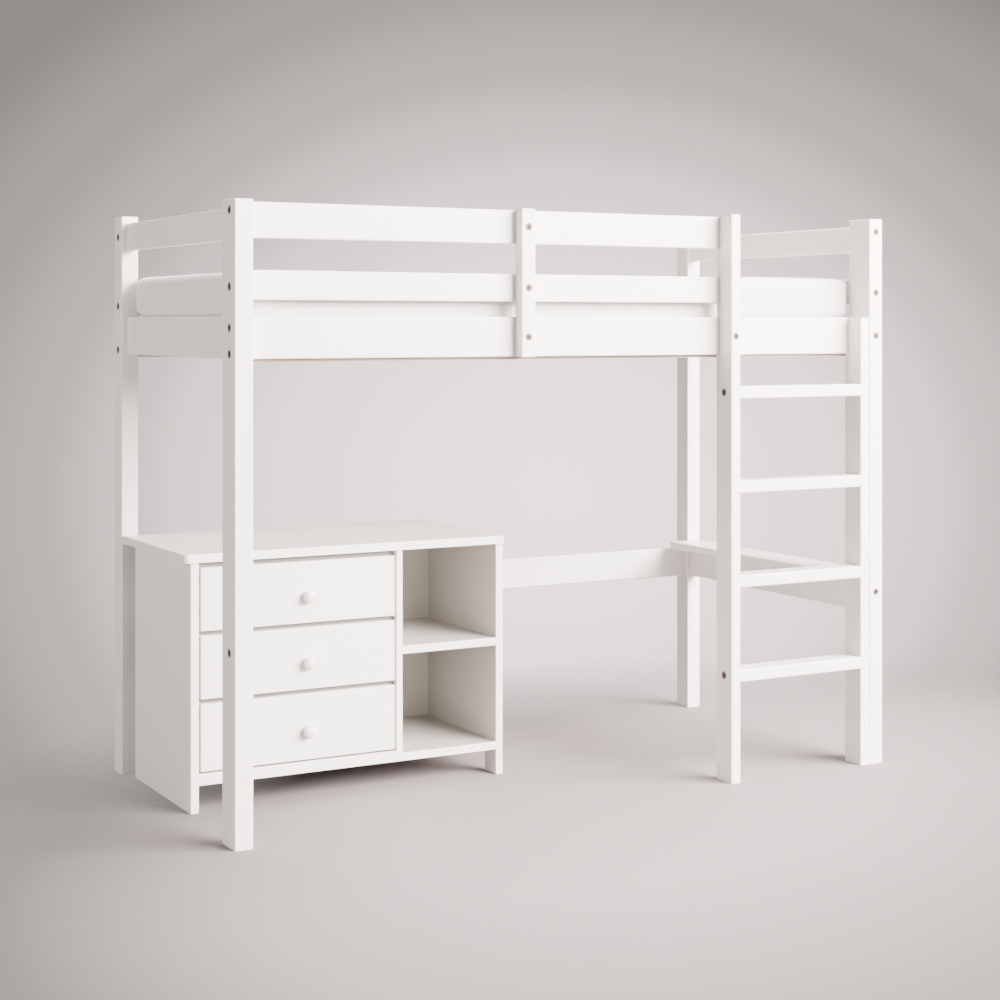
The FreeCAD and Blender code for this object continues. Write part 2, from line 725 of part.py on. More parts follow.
def make_chest():
    """The carcass of the chest of drawers, with two open bays on its right."""
    top = Board("chest_top",
                ("chest_left - chest_top_overhang", "chest_front - chest_top_lip", "chest_under_top"),
                ("chest_width + chest_top_overhang", "back_front - chest_front + chest_top_lip", "chest_top"))
    top.dress("Fillet", "chest_top_corner", lambda edge, box: runs_along(edge, Z_AXIS)
              and is_front_edge(edge, box) and edge.BoundBox.XMax <= box.XMin)
    top.dress("Fillet", "chest_round", is_top_edge)
    left = Board("chest_left_side", ("chest_left", "chest_front", "0"),
                 ("chest_side", "chest_depth", "chest_under_top"))
    right = Board("chest_right_side", ("chest_inner_right", "chest_front", "0"),
                  ("chest_side", "chest_depth", "chest_under_top"))
    for side in (left, right):
        side.dress("Fillet", "chest_round", front_edges_along(Z_AXIS))
    right.cut("foot_gap", ("chest_inner_right", "chest_front + foot_depth", "0"),
              ("chest_side", "chest_depth - 2 * foot_depth", "foot_height"))
    bottom = Board("chest_bottom", ("chest_inner_left", "chest_front", "foot_height"),
                   ("chest_inner_right - chest_inner_left", "chest_inner_depth", "chest_board"))
    divider = Board("chest_divider_panel", ("divider_left", "chest_front", "chest_floor"),
                    ("chest_divider", "chest_inner_depth", "chest_under_top - chest_floor"))
    shelf = Board("chest_shelf", ("divider_right", "chest_front", "shelf_bottom"),
                  ("chest_inner_right - divider_right", "chest_inner_depth", "chest_board"))
    for board, axis in ((bottom, X_AXIS), (divider, Z_AXIS), (shelf, X_AXIS)):
        board.dress("Fillet", "chest_round", front_edges_along(axis))
    Board("chest_back_panel", ("chest_inner_left", "chest_back_front", "foot_height"),
          ("chest_inner_right - chest_inner_left", "chest_back", "chest_under_top - foot_height"))
    base = Board("chest_base_rail", ("chest_inner_left", "chest_front + base_rail_setback", "chest_floor"),
                 ("drawer_bay_width", "base_rail_depth", "base_rail_height"))
    base.dress("Fillet", "chest_round", front_edges_along(X_AXIS))


def make_drawer_rails():
    """The recessed rails: one under the top board and one behind each gap between two drawers."""
    spans = {
        "upper": ("upper_drawer_bottom + upper_drawer_height", "chest_under_top"),
        "middle": ("middle_drawer_bottom + middle_drawer_height", "upper_drawer_bottom + drawer_rail_lap"),
        "lower": ("lower_drawer_bottom + lower_drawer_height", "middle_drawer_bottom + drawer_rail_lap"),
    }
    rails = []
    for name, (low, high) in spans.items():
        rail = doc.addObject("Part::Box", f"{name}_drawer_rail")
        bind(rail, Length="drawer_bay_width", Width="drawer_rail_depth",
             Height=f"{high} - ({low} - drawer_rail_lap)")
        bind_place(rail, ("chest_inner_left", "drawer_rail_front", f"{low} - drawer_rail_lap"))
        rails.append(rail)
    gather("chest_drawer_rails", rails)


def drawer_side_bottom(name):
    """The height of the lower edge of a drawer's sides."""
    return f"{name}_drawer_bottom + drawer_side_lift"


def drawer_side_height(name):
    """The height of a drawer's sides, lower than its front."""
    return f"{name}_drawer_height - drawer_side_drop"


def runner_bottom(name):
    """The height of a runner's underside, half way up the drawer's side."""
    return f"{drawer_side_bottom(name)} + ({drawer_side_height(name)} - runner_height) / 2"


def make_runners():
    """The wooden runners, two for each drawer, fixed to the chest's side and to its divider."""
    runners = []
    for name in DRAWERS:
        for x in ("chest_inner_left", "divider_left - runner_thickness"):
            runner = doc.addObject("Part::Box", f"{name}_runner")
            bind(runner, Length="runner_thickness", Width="runner_length", Height="runner_height")
            bind_place(runner, (x, "runner_front", runner_bottom(name)))
            runners.append(runner)
    gather("drawer_runners", runners)


def make_drawer_side(label, name, x, groove_x, tongue_x):
    """A drawer side, grooved outside for its runner and inside for the bottom panel."""
    low = drawer_side_bottom(name)
    side = Board(label, (x, "drawer_box_front", low),
                 ("drawer_side", "drawer_box_length", drawer_side_height(name)))
    side.cut("runner_slot", (groove_x, "drawer_box_front", f"{runner_bottom(name)} - runner_gap"),
             ("runner_groove", "drawer_box_length", "runner_height + 2 * runner_gap"))
    side.cut("bottom_slot", (tongue_x, "drawer_box_front", f"{low} + drawer_bottom_lift - joint_gap"),
             ("drawer_groove", "drawer_box_length", "drawer_bottom + 2 * joint_gap"))


def make_knob(label, name):
    """A turned knob on a drawer front, in three steps: its neck, its round head and the raised face of it."""
    body = doc.addObject("PartDesign::Body", label)
    low = "0"
    for step in ("neck", "head", "face"):
        disc = body.newObject("PartDesign::AdditivePrism", step)
        disc.Polygon = KNOB_SIDE_COUNT
        bind(disc, Circumradius=f"knob_{step} / 2", Height=f"knob_{step}_length")
        bind_place(disc, ("0", "0", low))
        low = f"{low} + knob_{step}_length"
    body.Placement = FreeCAD.Placement(FreeCAD.Vector(), WAYS["-y"])
    bind_place(body, ("drawer_left + drawer_width / 2 + knob_shift", "chest_front",
                      f"{name}_drawer_bottom + {name}_drawer_height / 2 - knob_drop"))
    pieces.append(body)


def make_drawer(name):
    """One drawer: an inset front, two grooved sides, a back, a bottom panel let into grooves and a knob."""
    low = drawer_side_bottom(name)
    panel_bottom = f"{low} + drawer_bottom_lift"
    panel_top = f"{panel_bottom} + drawer_bottom"
    front = Board(f"{name}_drawer_front", ("drawer_left", "chest_front", f"{name}_drawer_bottom"),
                  ("drawer_width", "drawer_front", f"{name}_drawer_height"))
    front.dress("Fillet", "drawer_front_round", is_front_edge)
    front.cut("bottom_slot", ("drawer_inner_left - drawer_groove", "drawer_box_front - drawer_groove",
                              f"{panel_bottom} - joint_gap"),
              ("drawer_inner_width + 2 * drawer_groove", "drawer_groove", "drawer_bottom + 2 * joint_gap"))
    make_drawer_side(f"{name}_drawer_left_side", name, "drawer_left", "drawer_left",
                     "drawer_inner_left - drawer_groove")
    make_drawer_side(f"{name}_drawer_right_side", name, "drawer_right - drawer_side",
                     "drawer_right - runner_groove", "drawer_right - drawer_side")
    Board(f"{name}_drawer_back",
          ("drawer_inner_left", "drawer_box_front + drawer_box_length - drawer_back", panel_top),
          ("drawer_inner_width", "drawer_back", f"{low} + {drawer_side_height(name)} - ({panel_top})"))
    Board(f"{name}_drawer_bottom_panel",
          ("drawer_inner_left - groove_tongue", "drawer_box_front - groove_tongue", panel_bottom),
          ("drawer_inner_width + 2 * groove_tongue", "drawer_box_length + groove_tongue", "drawer_bottom"))
    make_knob(f"{name}_drawer_knob", name)


def bolt_long_rails(fasteners, posts, rails):
    """Bolts along X, through the posts into the ends of the long rails, each with a barrel nut."""
    reach = "post_width + bolt_grip"
    left, right = ("left", "+x"), ("right", "-x")
    ends = (
        ("front_left", left, "front_bed", "rail_middle", "bed_bolt_low"),
        ("front_left", left, "front_bed", "rail_middle", "bed_bolt_high"),
        ("front_left", left, "lower_guard", "rail_middle", "lower_guard_bolt"),
        ("front_left", left, "upper_guard", "rail_middle", "upper_guard_bolt"),
        ("front_right", right, "front_bed", "rail_middle", "bed_bolt_low"),
        ("front_right", right, "front_bed", "rail_middle", "bed_bolt_high"),
        ("back_left", left, "back_bed", "back_rail_middle", "bed_bolt_low"),
        ("back_left", left, "back_stop", "back_rail_middle", "back_stop_centre"),
        ("back_right", right, "back_bed", "back_rail_middle", "bed_bolt_low"),
        ("back_right", right, "back_stop", "back_rail_middle", "back_stop_centre"),
    )
    for corner, (face, way), rail, y, z in ends:
        name = f"{corner}_{rail}_{z}"
        nut_way = "-y" if y == "rail_middle" else "+y"
        fasteners.drive("bolt", name, (face, y, z), way, (posts[corner], rails[rail]), reach)
        fasteners.catch(name, (face, y, z), way, rails[rail], reach, nut_way, "rail_thickness")


def bolt_end_rails(fasteners, posts, rails):
    """Bolts along Y, through the right posts into the right end rails, and one across a left tenon."""
    heights = {
        "right_bed": "bed_rail_centre",
        "right_guard": "end_guard_bolt",
        "right_guard_lower": "lower_guard_bolt",
        "right_lower": "lower_rail_bolt",
    }
    faces = (
        ("front_right", "front", "+y", "front_right_depth"),
        ("back_right", "back", "-y", "back_post_depth"),
    )
    for corner, face, way, depth in faces:
        for rail, z in heights.items():
            name = f"{corner}_{rail}"
            at = ("right_rail_middle", face, z)
            reach = f"{depth} + bolt_grip"
            fasteners.drive("bolt", name, at, way, (posts[corner], rails[rail]), reach)
            fasteners.catch(name, at, way, rails[rail], reach, "-x", "rail_thickness")
    blind = "post_width - bolt_wall"
    cross_at = ("left", "back_rail_middle", "end_guard_centre")
    fasteners.drive("bolt", "left_guard_tenon", cross_at, "+x",
                    (posts["back_left"], rails["left_guard"]), blind)
    fasteners.drive("bolt", "spare_hole", ("left", "rail_middle", "spare_bolt_height"), "+x",
                    (posts["front_left"],), blind)


def bolt_front(fasteners, rails, guard_post, left_stile):
    """Bolts along Y, through the guard post and the left stile into the front rails."""
    reach = "guard_post_thickness + bolt_blind_grip"
    for rail, z in (("front_bed", "bed_rail_centre"), ("lower_guard", "lower_guard_centre"),
                    ("upper_guard", "upper_guard_centre")):
        fasteners.drive("bolt", f"guard_post_{rail}", ("guard_post_centre", "guard_post_front", z), "+y",
                        (guard_post, rails[rail]), reach)
    fasteners.drive("bolt", "stile_front_bed", ("left_stile_centre", "front", "bed_rail_centre"), "+y",
                    (left_stile, rails["front_bed"]), "front_rail_setback + bolt_blind_grip")


def bolt_rungs(fasteners, left_stile, right_stile, rungs):
    """Bolts along X, through the stiles into the ends of the lowest and the highest rung."""
    reach = "stile_width + bolt_grip"
    for number in (1, RUNG_COUNT):
        rung = rungs[number - 1]
        z = f"{rung_bottom(number)} + rung_thickness / 2"
        for stile, face, way in ((left_stile, "left_stile_left", "+x"), (right_stile, "right_inner", "-x")):
            name = f"rung_{number}_{stile.body.Label}"
            fasteners.drive("bolt", name, (face, "stile_centre", z), way, (stile, rung), reach)
            fasteners.catch(name, (face, "stile_centre", z), way, rung, reach, "+z", "rung_thickness")


def screw_guards(fasteners, rails, left_stile):
    """Screws from behind, through the ends of the guard rails into the left stile."""
    for rail in ("lower_guard", "upper_guard"):
        for share in ("screw_low_share", "screw_high_share"):
            at = ("left_stile_centre", "rail_rear", f"{rail.replace('guard', 'guard_bottom')} + "
                  f"{share} * {rail.replace('guard', 'guard_height')}")
            fasteners.drive("screw", f"{rail}_{share}", at, "-y", (rails[rail], left_stile),
                            "rail_thickness + screw_grip")


def main():
    """Build every piece, check it and write it to its own file."""
    posts = make_posts()
    rails = {**make_long_rails(posts), **make_end_rails(posts)}
    guard_post = make_guard_post()
    left_stile, right_stile, rungs = make_ladder()
    make_slatted_base()
    make_mattress()
    make_chest()
    make_drawer_rails()
    make_runners()
    for name in DRAWERS:
        make_drawer(name)
    fasteners = Fasteners()
    bolt_long_rails(fasteners, posts, rails)
    bolt_end_rails(fasteners, posts, rails)
    bolt_front(fasteners, rails, guard_post, left_stile)
    bolt_rungs(fasteners, left_stile, right_stile, rungs)
    screw_guards(fasteners, rails, left_stile)
    gather("frame_bolts", fasteners.solids["bolt"])
    gather("barrel_nuts", fasteners.solids["nut"])
    gather("guard_screws", fasteners.solids["screw"])
    doc.recompute()
    failed = [thing.Label for thing in doc.Objects if {"Invalid", "Error"} & set(thing.State)]
    failed += [piece.Label for piece in pieces if piece.Shape.isNull() or not piece.Shape.isValid()]
    if failed:
        raise RuntimeError("failed: " + ", ".join(failed))
    os.makedirs("parts", exist_ok=True)
    for piece in pieces:
        piece.Shape.exportStep(f"parts/{piece.Label}.step")
    print(len(pieces), "pieces,", sum(len(piece.Shape.Solids) for piece in pieces), "solids")


main()
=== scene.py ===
"""The looks of a white loft bed with a ladder and a chest of drawers.

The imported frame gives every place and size. This script dresses the frame's nodes, puts finer pieces in
place of the small and the soft ones, and sets up a plain studio around them.
"""

import logging
import math
from dataclasses import dataclass, field
from enum import Enum
from typing import Any, Callable, Iterable, Sequence

import bmesh
import bpy
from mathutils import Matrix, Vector


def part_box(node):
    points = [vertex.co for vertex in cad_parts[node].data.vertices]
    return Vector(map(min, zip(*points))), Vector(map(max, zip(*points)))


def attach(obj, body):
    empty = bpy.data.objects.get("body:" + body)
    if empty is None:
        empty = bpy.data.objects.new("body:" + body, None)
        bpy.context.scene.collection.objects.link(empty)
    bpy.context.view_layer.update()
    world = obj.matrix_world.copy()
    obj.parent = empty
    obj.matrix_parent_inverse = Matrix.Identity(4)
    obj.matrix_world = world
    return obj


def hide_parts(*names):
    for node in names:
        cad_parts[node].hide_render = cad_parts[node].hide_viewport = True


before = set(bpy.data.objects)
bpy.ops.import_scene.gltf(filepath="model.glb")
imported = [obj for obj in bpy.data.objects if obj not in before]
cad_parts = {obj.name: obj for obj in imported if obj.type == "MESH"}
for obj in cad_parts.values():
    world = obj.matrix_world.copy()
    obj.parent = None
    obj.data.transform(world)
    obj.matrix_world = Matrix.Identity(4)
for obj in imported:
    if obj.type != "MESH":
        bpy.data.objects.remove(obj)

LOG = logging.getLogger("loft_bed")
FRAME_BODY = "frame"
MILLIMETRE = 0.001
MERGE_GAP = 0.02 * MILLIMETRE
EDGE_STEPS = 3
ROUND_EDGE = 0.5
RUNG_COUNT = 4
SIXTH_TURN = math.pi / 3
WAVE_THREADS = 6.3  # threads per metre at a wave texture's scale of 1, two to a wave
UP = Vector((0, 0, 1))

Colour = tuple[float, float, float]
Place = tuple[float, float, float]
Pair = tuple[float, float]
Profile = tuple[Pair, ...]
Spot = tuple[Vector, Vector]


class GrainAxis(Enum):
    """The way that the wood's grain runs in a board."""

    X = 0
    Y = 1
    Z = 2

    def cells(self, across: float, along: float) -> list[float]:
        """Cells per metre on each axis, from those across the grain and along it."""
        return [along if number == self.value else across for number in range(3)]


class DrawerName(Enum):
    """The three drawers of the chest, from the top."""

    UPPER = "upper"
    MIDDLE = "middle"
    LOWER = "lower"


class Slot(Enum):
    """The record's material slots."""

    PAINT = "white_paint"
    PINE = "bare_pine"
    COVER = "mattress_cover"
    STEEL = "bolt_steel"


class NodeWork:
    """A node tree under construction, with short ways to add to it."""

    def __init__(self, tree: bpy.types.NodeTree) -> None:
        """Start work on a tree."""
        self.tree = tree

    def add(self, kind: str, inputs: dict[Any, Any] | None = None, **settings: Any) -> bpy.types.Node:
        """Add a node.

        Args:
            kind: The node's type.
            inputs: Sockets to link or constants to set, by the input's name or number.
            settings: The node's own settings.

        Returns:
            The new node.
        """
        node = self.tree.nodes.new(kind)
        for name, value in settings.items():
            setattr(node, name, value)
        for key, value in (inputs or {}).items():
            self.set(node.inputs[key], value)
        return node

    def set(self, target: bpy.types.NodeSocket, value: Any) -> None:
        """Link a socket to an input, or set the input to a constant.

        Args:
            target: The input.
            value: The socket or the constant.
        """
        if isinstance(value, bpy.types.NodeSocket):
            self.tree.links.new(value, target)
        else:
            target.default_value = value

    def numbers(self, operation: str, *terms: Any) -> bpy.types.NodeSocket:
        """Reckon with numbers, each a socket or a constant."""
        return self.add("ShaderNodeMath", dict(enumerate(terms)), operation=operation).outputs["Value"]

    def vectors(self, operation: str, *terms: Any, output: str = "Vector") -> bpy.types.NodeSocket:
        """Reckon with vectors, each a socket or a constant."""
        node = self.add("ShaderNodeVectorMath", dict(enumerate(terms)), operation=operation)
        return node.outputs[output]

    def span(self, value: bpy.types.NodeSocket, low: float, high: float, start: float = 0.3,
             end: float = 0.7) -> bpy.types.NodeSocket:
        """Stretch a value.

        Args:
            value: The value to read.
            low: The result at the start.
            high: The result at the end.
            start: The value that gives the low result.
            end: The value that gives the high result.

        Returns:
            The stretched value.
        """
        sizes = {"Value": value, "From Min": start, "From Max": end, "To Min": low, "To Max": high}
        return self.add("ShaderNodeMapRange", sizes).outputs["Result"]


class Shader(NodeWork):
    """A material under construction: its node tree and its main shader."""

    def __init__(self, name: str) -> None:
        """Start a material with one main shader.

        Args:
            name: The material's name.
        """
        self.material = bpy.data.materials.new(name)
        self.material.use_nodes = True
        super().__init__(self.material.node_tree)
        self.main = self.tree.nodes["Principled BSDF"]
        self.place = self.add("ShaderNodeTexCoord").outputs["Object"]

    def stretched(self, scale: Sequence[float]) -> bpy.types.NodeSocket:
        """Object coordinates with a scale of their own along each axis."""
        return self.add("ShaderNodeMapping", {"Vector": self.place, "Scale": scale}).outputs["Vector"]

    def noise(self, place: bpy.types.NodeSocket, scale: float, detail: float = 3.0,
              roughness: float = 0.5) -> bpy.types.NodeSocket:
        """A noise between 0 and 1.

        Args:
            place: The coordinates to read.
            scale: Cells per metre of those coordinates.
            detail: How many octaves it has.
            roughness: How strong the finer octaves are.

        Returns:
            The noise's value.
        """
        sizes = {"Vector": place, "Scale": scale, "Detail": detail, "Roughness": roughness}
        return self.add("ShaderNodeTexNoise", sizes).outputs["Fac"]

    def mixed(self, share: bpy.types.NodeSocket, first: Any, second: Any) -> bpy.types.NodeSocket:
        """Mix two colours.

        Args:
            share: How much of the second colour there is, from 0 to 1.
            first: A colour or a socket that gives one.
            second: The other colour or socket.

        Returns:
            The mixed colour.
        """
        node = self.add("ShaderNodeMix", {"Factor": share}, data_type="RGBA")
        for socket, colour in zip([s for s in node.inputs if s.type == "RGBA"], (first, second)):
            self.set(socket, colour if isinstance(colour, bpy.types.NodeSocket) else (*colour, 1.0))
        return next(s for s in node.outputs if s.type == "RGBA")

    def bump(self, height: bpy.types.NodeSocket, strength: float, distance: float,
             under: bpy.types.NodeSocket | None = None) -> bpy.types.NodeSocket:
        """A bump from a height.

        Args:
            height: The height, between 0 and 1.
            strength: How much of the bump shows.
            distance: What a height of 1 is, in metres.
            under: The normal of a coarser bump below it.

        Returns:
            The bumped normal.
        """
        sizes = {"Height": height, "Strength": strength, "Distance": distance}
        node = self.add("ShaderNodeBump", sizes)
        if under is not None:
            self.set(node.inputs["Normal"], under)
        return node.outputs["Normal"]

    def finish(self, **sockets: Any) -> bpy.types.Material:
        """Set the main shader's inputs.

        Args:
            sockets: Sockets, colours or numbers by the input's name, with underscores for spaces.

        Returns:
            The finished material.
        """
        for name, value in sockets.items():
            key = name.replace("_", " ").title().replace("Ior", "IOR")
            if isinstance(value, tuple) and len(value) == 3:
                value = (*value, 1.0)
            self.set(self.main.inputs[key], value)
        return self.material


@dataclass(frozen=True)
class BayPaintedShade:
    """Painted shade inside the chest's two open bays, darker towards the back."""

    # Colours of the painted shade at the bays' front edges and at their back.
    front: Colour = (0.54, 0.513, 0.478)
    back: Colour = (0.41, 0.393, 0.364)
    margin: float = 0.001

    def box(self) -> tuple[Vector, Vector]:
        """The room of the bays, a little wider than it is, and a little short of the front edges.

        Returns:
            Its low and high corner.
        """
        shelf_low, shelf_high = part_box("chest_shelf")
        bottom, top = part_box("chest_bottom")[1].z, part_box("chest_top")[0].z
        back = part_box("chest_back_panel")[0].y
        low = Vector((shelf_low.x - self.margin, shelf_low.y + self.margin, bottom - self.margin))
        return low, Vector((shelf_high.x + self.margin, back + self.margin, top + self.margin))

    def over(self, shader: Shader, tone: bpy.types.NodeSocket) -> bpy.types.NodeSocket:
        """Lay the painted shade over a colour.

        Args:
            shader: The material under construction.
            tone: The colour outside the bays.

        Returns:
            The colour with the painted shade.
        """
        low, high = self.box()
        off = shader.vectors("SUBTRACT", shader.place, (low + high) / 2)
        off = shader.vectors("SUBTRACT", shader.vectors("ABSOLUTE", off), (high - low) / 2)
        parts = shader.add("ShaderNodeSeparateXYZ", {0: off}).outputs
        most = shader.numbers("MAXIMUM", parts["X"], parts["Y"])
        inside = shader.numbers("LESS_THAN", shader.numbers("MAXIMUM", most, parts["Z"]), 0.0)
        depth = shader.add("ShaderNodeSeparateXYZ", {0: shader.place}).outputs["Y"]
        # Painted shade, darker towards the back of the bays.
        painted_shade = shader.mixed(shader.span(depth, 0.0, 1.0, low.y, high.y), self.front, self.back)
        return shader.mixed(inside, tone, painted_shade)


@dataclass(frozen=True)
class SatinPaint:
    """White satin paint on pine: the grain just shows through a fine roller texture."""

    name: str = "satin_white_paint"
    colour: Colour = (0.800, 0.768, 0.745)
    shade: Colour = (0.765, 0.730, 0.705)
    roughness: float = 0.36
    # Painted shade laid over the paint inside the chest's bays, if any.
    painted_shade: BayPaintedShade | None = None
    grain_cells: Pair = (70.0, 2.2)
    grain_share: float = 0.45
    grain_bump: Pair = (0.10, 0.0006)
    drift_cells: float = 2.4
    drift_share: float = 0.35
    roller_cells: float = 620.0
    roller_bump: Pair = (0.05, 0.0003)
    gloss_range: Pair = (-0.04, 0.06)
    specular: float = 0.45

    def build(self, axis: GrainAxis) -> bpy.types.Material:
        """Make the paint for boards whose grain runs along an axis.

        Args:
            axis: The way of the grain.

        Returns:
            The material.
        """
        shader = Shader(f"{self.name}_{axis.name.lower()}")
        place = shader.stretched(axis.cells(*self.grain_cells))
        grain = shader.noise(place, 1.0, detail=4.0, roughness=0.6)
        drift = shader.noise(shader.place, self.drift_cells, detail=2.0)
        roller = shader.noise(shader.place, self.roller_cells, detail=2.0)
        tone = shader.mixed(shader.span(grain, 0.0, self.grain_share), self.colour, self.shade)
        tone = shader.mixed(shader.span(drift, 0.0, self.drift_share), tone, self.shade)
        # Lay the painted shade inside the bays.
        if self.painted_shade is not None:
            tone = self.painted_shade.over(shader, tone)
        normal = shader.bump(grain, *self.grain_bump)
        normal = shader.bump(roller, *self.roller_bump, normal)
        gloss = shader.span(roller, *(self.roughness + step for step in self.gloss_range))
        return shader.finish(base_color=tone, roughness=gloss, normal=normal,
                             specular_ior_level=self.specular)


@dataclass(frozen=True)
class BarePine:
    """Planed pine without paint: growth rings, fine pores and a dry surface."""

    name: str = "bare_pine"
    early: Colour = (0.56, 0.42, 0.275)
    late: Colour = (0.40, 0.27, 0.16)
    ring_cells: Pair = (26.0, 0.9)
    wander_cells: float = 0.8
    rings_per_cell: float = 9.0
    ring_share: float = 0.75
    ring_bump: Pair = (0.08, 0.0004)
    pore_cells: Pair = (520.0, 14.0)
    pore_share: float = 0.3
    pore_bump: Pair = (0.18, 0.0003)
    roughness: Pair = (0.62, 0.8)

    def build(self, axis: GrainAxis) -> bpy.types.Material:
        """Make the wood for boards whose grain runs along an axis.

        Args:
            axis: The way of the grain.

        Returns:
            The material.
        """
        shader = Shader(f"{self.name}_{axis.name.lower()}")
        place = shader.stretched(axis.cells(*self.ring_cells))
        wander = shader.noise(place, self.wander_cells, detail=3.0, roughness=0.55)
        rings = shader.numbers("FRACT", shader.numbers("MULTIPLY", wander, self.rings_per_cell))
        pores = shader.noise(shader.stretched(axis.cells(*self.pore_cells)), 1.0, detail=2.0)
        late = shader.span(rings, 0.0, self.ring_share, start=0.35, end=1.0)
        dark = shader.span(pores, 0.0, self.pore_share, start=0.5, end=0.75)
        tone = shader.mixed(dark, shader.mixed(late, self.early, self.late), self.late)
        normal = shader.bump(rings, *self.ring_bump)
        normal = shader.bump(pores, *self.pore_bump, normal)
        return shader.finish(base_color=tone, roughness=shader.span(pores, *self.roughness),
                             normal=normal)


@dataclass(frozen=True)
class MattressCloth:
    """A close white mattress cover: two crossing sets of threads, soft slubs and a faint sheen."""

    name: str = "mattress_cloth"
    colour: Colour = (0.77, 0.745, 0.725)
    shade: Colour = (0.69, 0.665, 0.645)
    threads_per_metre: float = 560.0
    thread_bump: Pair = (0.35, 0.0006)
    slub_cells: float = 60.0
    slub_share: float = 0.35
    slub_bump: Pair = (0.2, 0.0012)
    fold_cells: Place = (2.0, 3.2, 9.0)
    fold_bump: Pair = (0.25, 0.006)
    roughness: Pair = (0.82, 0.95)

    def threads(self, shader: Shader, direction: str) -> bpy.types.NodeSocket:
        """One set of threads.

        Args:
            shader: The material under construction.
            direction: The axis that the bands follow each other along.

        Returns:
            The threads' height.
        """
        sizes = {"Vector": shader.place, "Scale": self.threads_per_metre / WAVE_THREADS,
                 "Distortion": 1.2, "Detail": 1.0, "Detail Scale": 2.0}
        return shader.add("ShaderNodeTexWave", sizes, bands_direction=direction).outputs["Fac"]

    def build(self) -> bpy.types.Material:
        """Make the cloth.

        Returns:
            The material.
        """
        shader = Shader(self.name)
        weave = shader.numbers("MAXIMUM", self.threads(shader, "X"), self.threads(shader, "Y"))
        weave = shader.numbers("MULTIPLY", weave, self.threads(shader, "Z"))
        slubs = shader.noise(shader.place, self.slub_cells, detail=4.0, roughness=0.6)
        folds = shader.noise(shader.stretched(self.fold_cells), 1.0, detail=2.0)
        # Painted shade in the hollows between the threads.
        thread_hollow_shade = shader.span(weave, 0.5, 0.0, start=0.0, end=0.8)
        tone = shader.mixed(thread_hollow_shade, self.colour, self.shade)
        tone = shader.mixed(shader.span(slubs, 0.0, self.slub_share), tone, self.shade)
        normal = shader.bump(folds, *self.fold_bump)
        normal = shader.bump(slubs, *self.slub_bump, normal)
        normal = shader.bump(weave, *self.thread_bump, normal)
        return shader.finish(base_color=tone, roughness=shader.span(slubs, *self.roughness),
                             normal=normal, sheen_weight=0.25, sheen_roughness=0.5,
                             specular_ior_level=0.2)


@dataclass(frozen=True)
class BoltSteel:
    """Plated steel gone a little brown: brushed, with darker patches."""

    name: str = "bolt_steel"
    colour: Colour = (0.125, 0.108, 0.093)
    dark: Colour = (0.055, 0.045, 0.037)
    patch_cells: float = 420.0
    patch_share: float = 0.8
    scratch_cells: Place = (3000.0, 3000.0, 300.0)
    scratch_bump: Pair = (0.15, 0.0001)
    roughness: Pair = (0.45, 0.65)

    def build(self) -> bpy.types.Material:
        """Make the steel.

        Returns:
            The material.
        """
        shader = Shader(self.name)
        patches = shader.noise(shader.place, self.patch_cells, detail=3.0, roughness=0.6)
        scratches = shader.noise(shader.stretched(self.scratch_cells), 1.0, detail=2.0)
        tone = shader.mixed(shader.span(patches, 0.0, self.patch_share), self.colour, self.dark)
        normal = shader.bump(scratches, *self.scratch_bump)
        return shader.finish(base_color=tone, metallic=0.7, specular_ior_level=0.3, normal=normal,
                             roughness=shader.span(patches, *self.roughness))


@dataclass(frozen=True)
class StudioFloor:
    """A pale matt studio floor with painted shade that darkens it away from the bed, and that fades into
    the backdrop all round.
    """

    name: str = "studio_floor"
    colour: Colour = (0.272, 0.242, 0.2385)
    # Painted shade: the floor darkens towards this tone outside an oval round the bed.
    painted_shade_tone: Colour = (0.115, 0.1036, 0.0995)
    painted_shade_centre: Place = (0.215, -0.454, 0.0)
    painted_shade_turn: float = 37.4
    painted_shade_stretch: Place = (2.0, 1.0, 1.0)
    painted_shade_start: float = 0.55
    painted_shade_end: float = 1.35
    fade_centre: Place = (0.5, -1.2, 0.0)
    fade_start: float = 1.75
    fade_end: float = 2.75
    mottle_cells: float = 1.3
    mottle_share: float = 0.06

    def build(self) -> bpy.types.Material:
        """Make the floor's material.

        Returns:
            The material.
        """
        shader = Shader(self.name)
        mottle = shader.noise(shader.place, self.mottle_cells)
        tone = shader.mixed(shader.span(mottle, 0.0, self.mottle_share), self.colour, self.painted_shade_tone)
        oval = {"Vector": shader.place, "Location": self.painted_shade_centre,
                "Rotation": UP * math.radians(self.painted_shade_turn), "Scale": self.painted_shade_stretch}
        turned = shader.add("ShaderNodeMapping", oval, vector_type="TEXTURE").outputs["Vector"]
        away = shader.vectors("LENGTH", turned, output="Value")
        # Painted shade, darker away from the oval's middle.
        tone = shader.mixed(shader.span(away, 0.0, 1.0, self.painted_shade_start, self.painted_shade_end), tone, self.painted_shade_tone)
        off = shader.vectors("DISTANCE", shader.place, self.fade_centre, output="Value")
        fade = shader.span(off, 1.0, 0.0, self.fade_start, self.fade_end)
        return shader.finish(base_color=tone, roughness=0.85, specular_ior_level=0.1, alpha=fade)


# Painted shade on the back panel's face inside the bays, even from front to back.
PANEL_PAINTED_SHADE = BayPaintedShade((0.63, 0.608, 0.567), (0.63, 0.608, 0.567))
# The back panel: duller hardboard paint on its rear, painted shade on its face inside the bays.
PANEL_PAINT_AND_SHADE = SatinPaint("panel_paint", (0.70, 0.668, 0.643), (0.66, 0.626, 0.60), 0.55, PANEL_PAINTED_SHADE)
# Painted shade: the recessed rails between the drawers are painted dark.
RECESS_SHADE_PAINT = SatinPaint("recess_paint", (0.215, 0.20, 0.19), (0.19, 0.178, 0.168), 0.6)
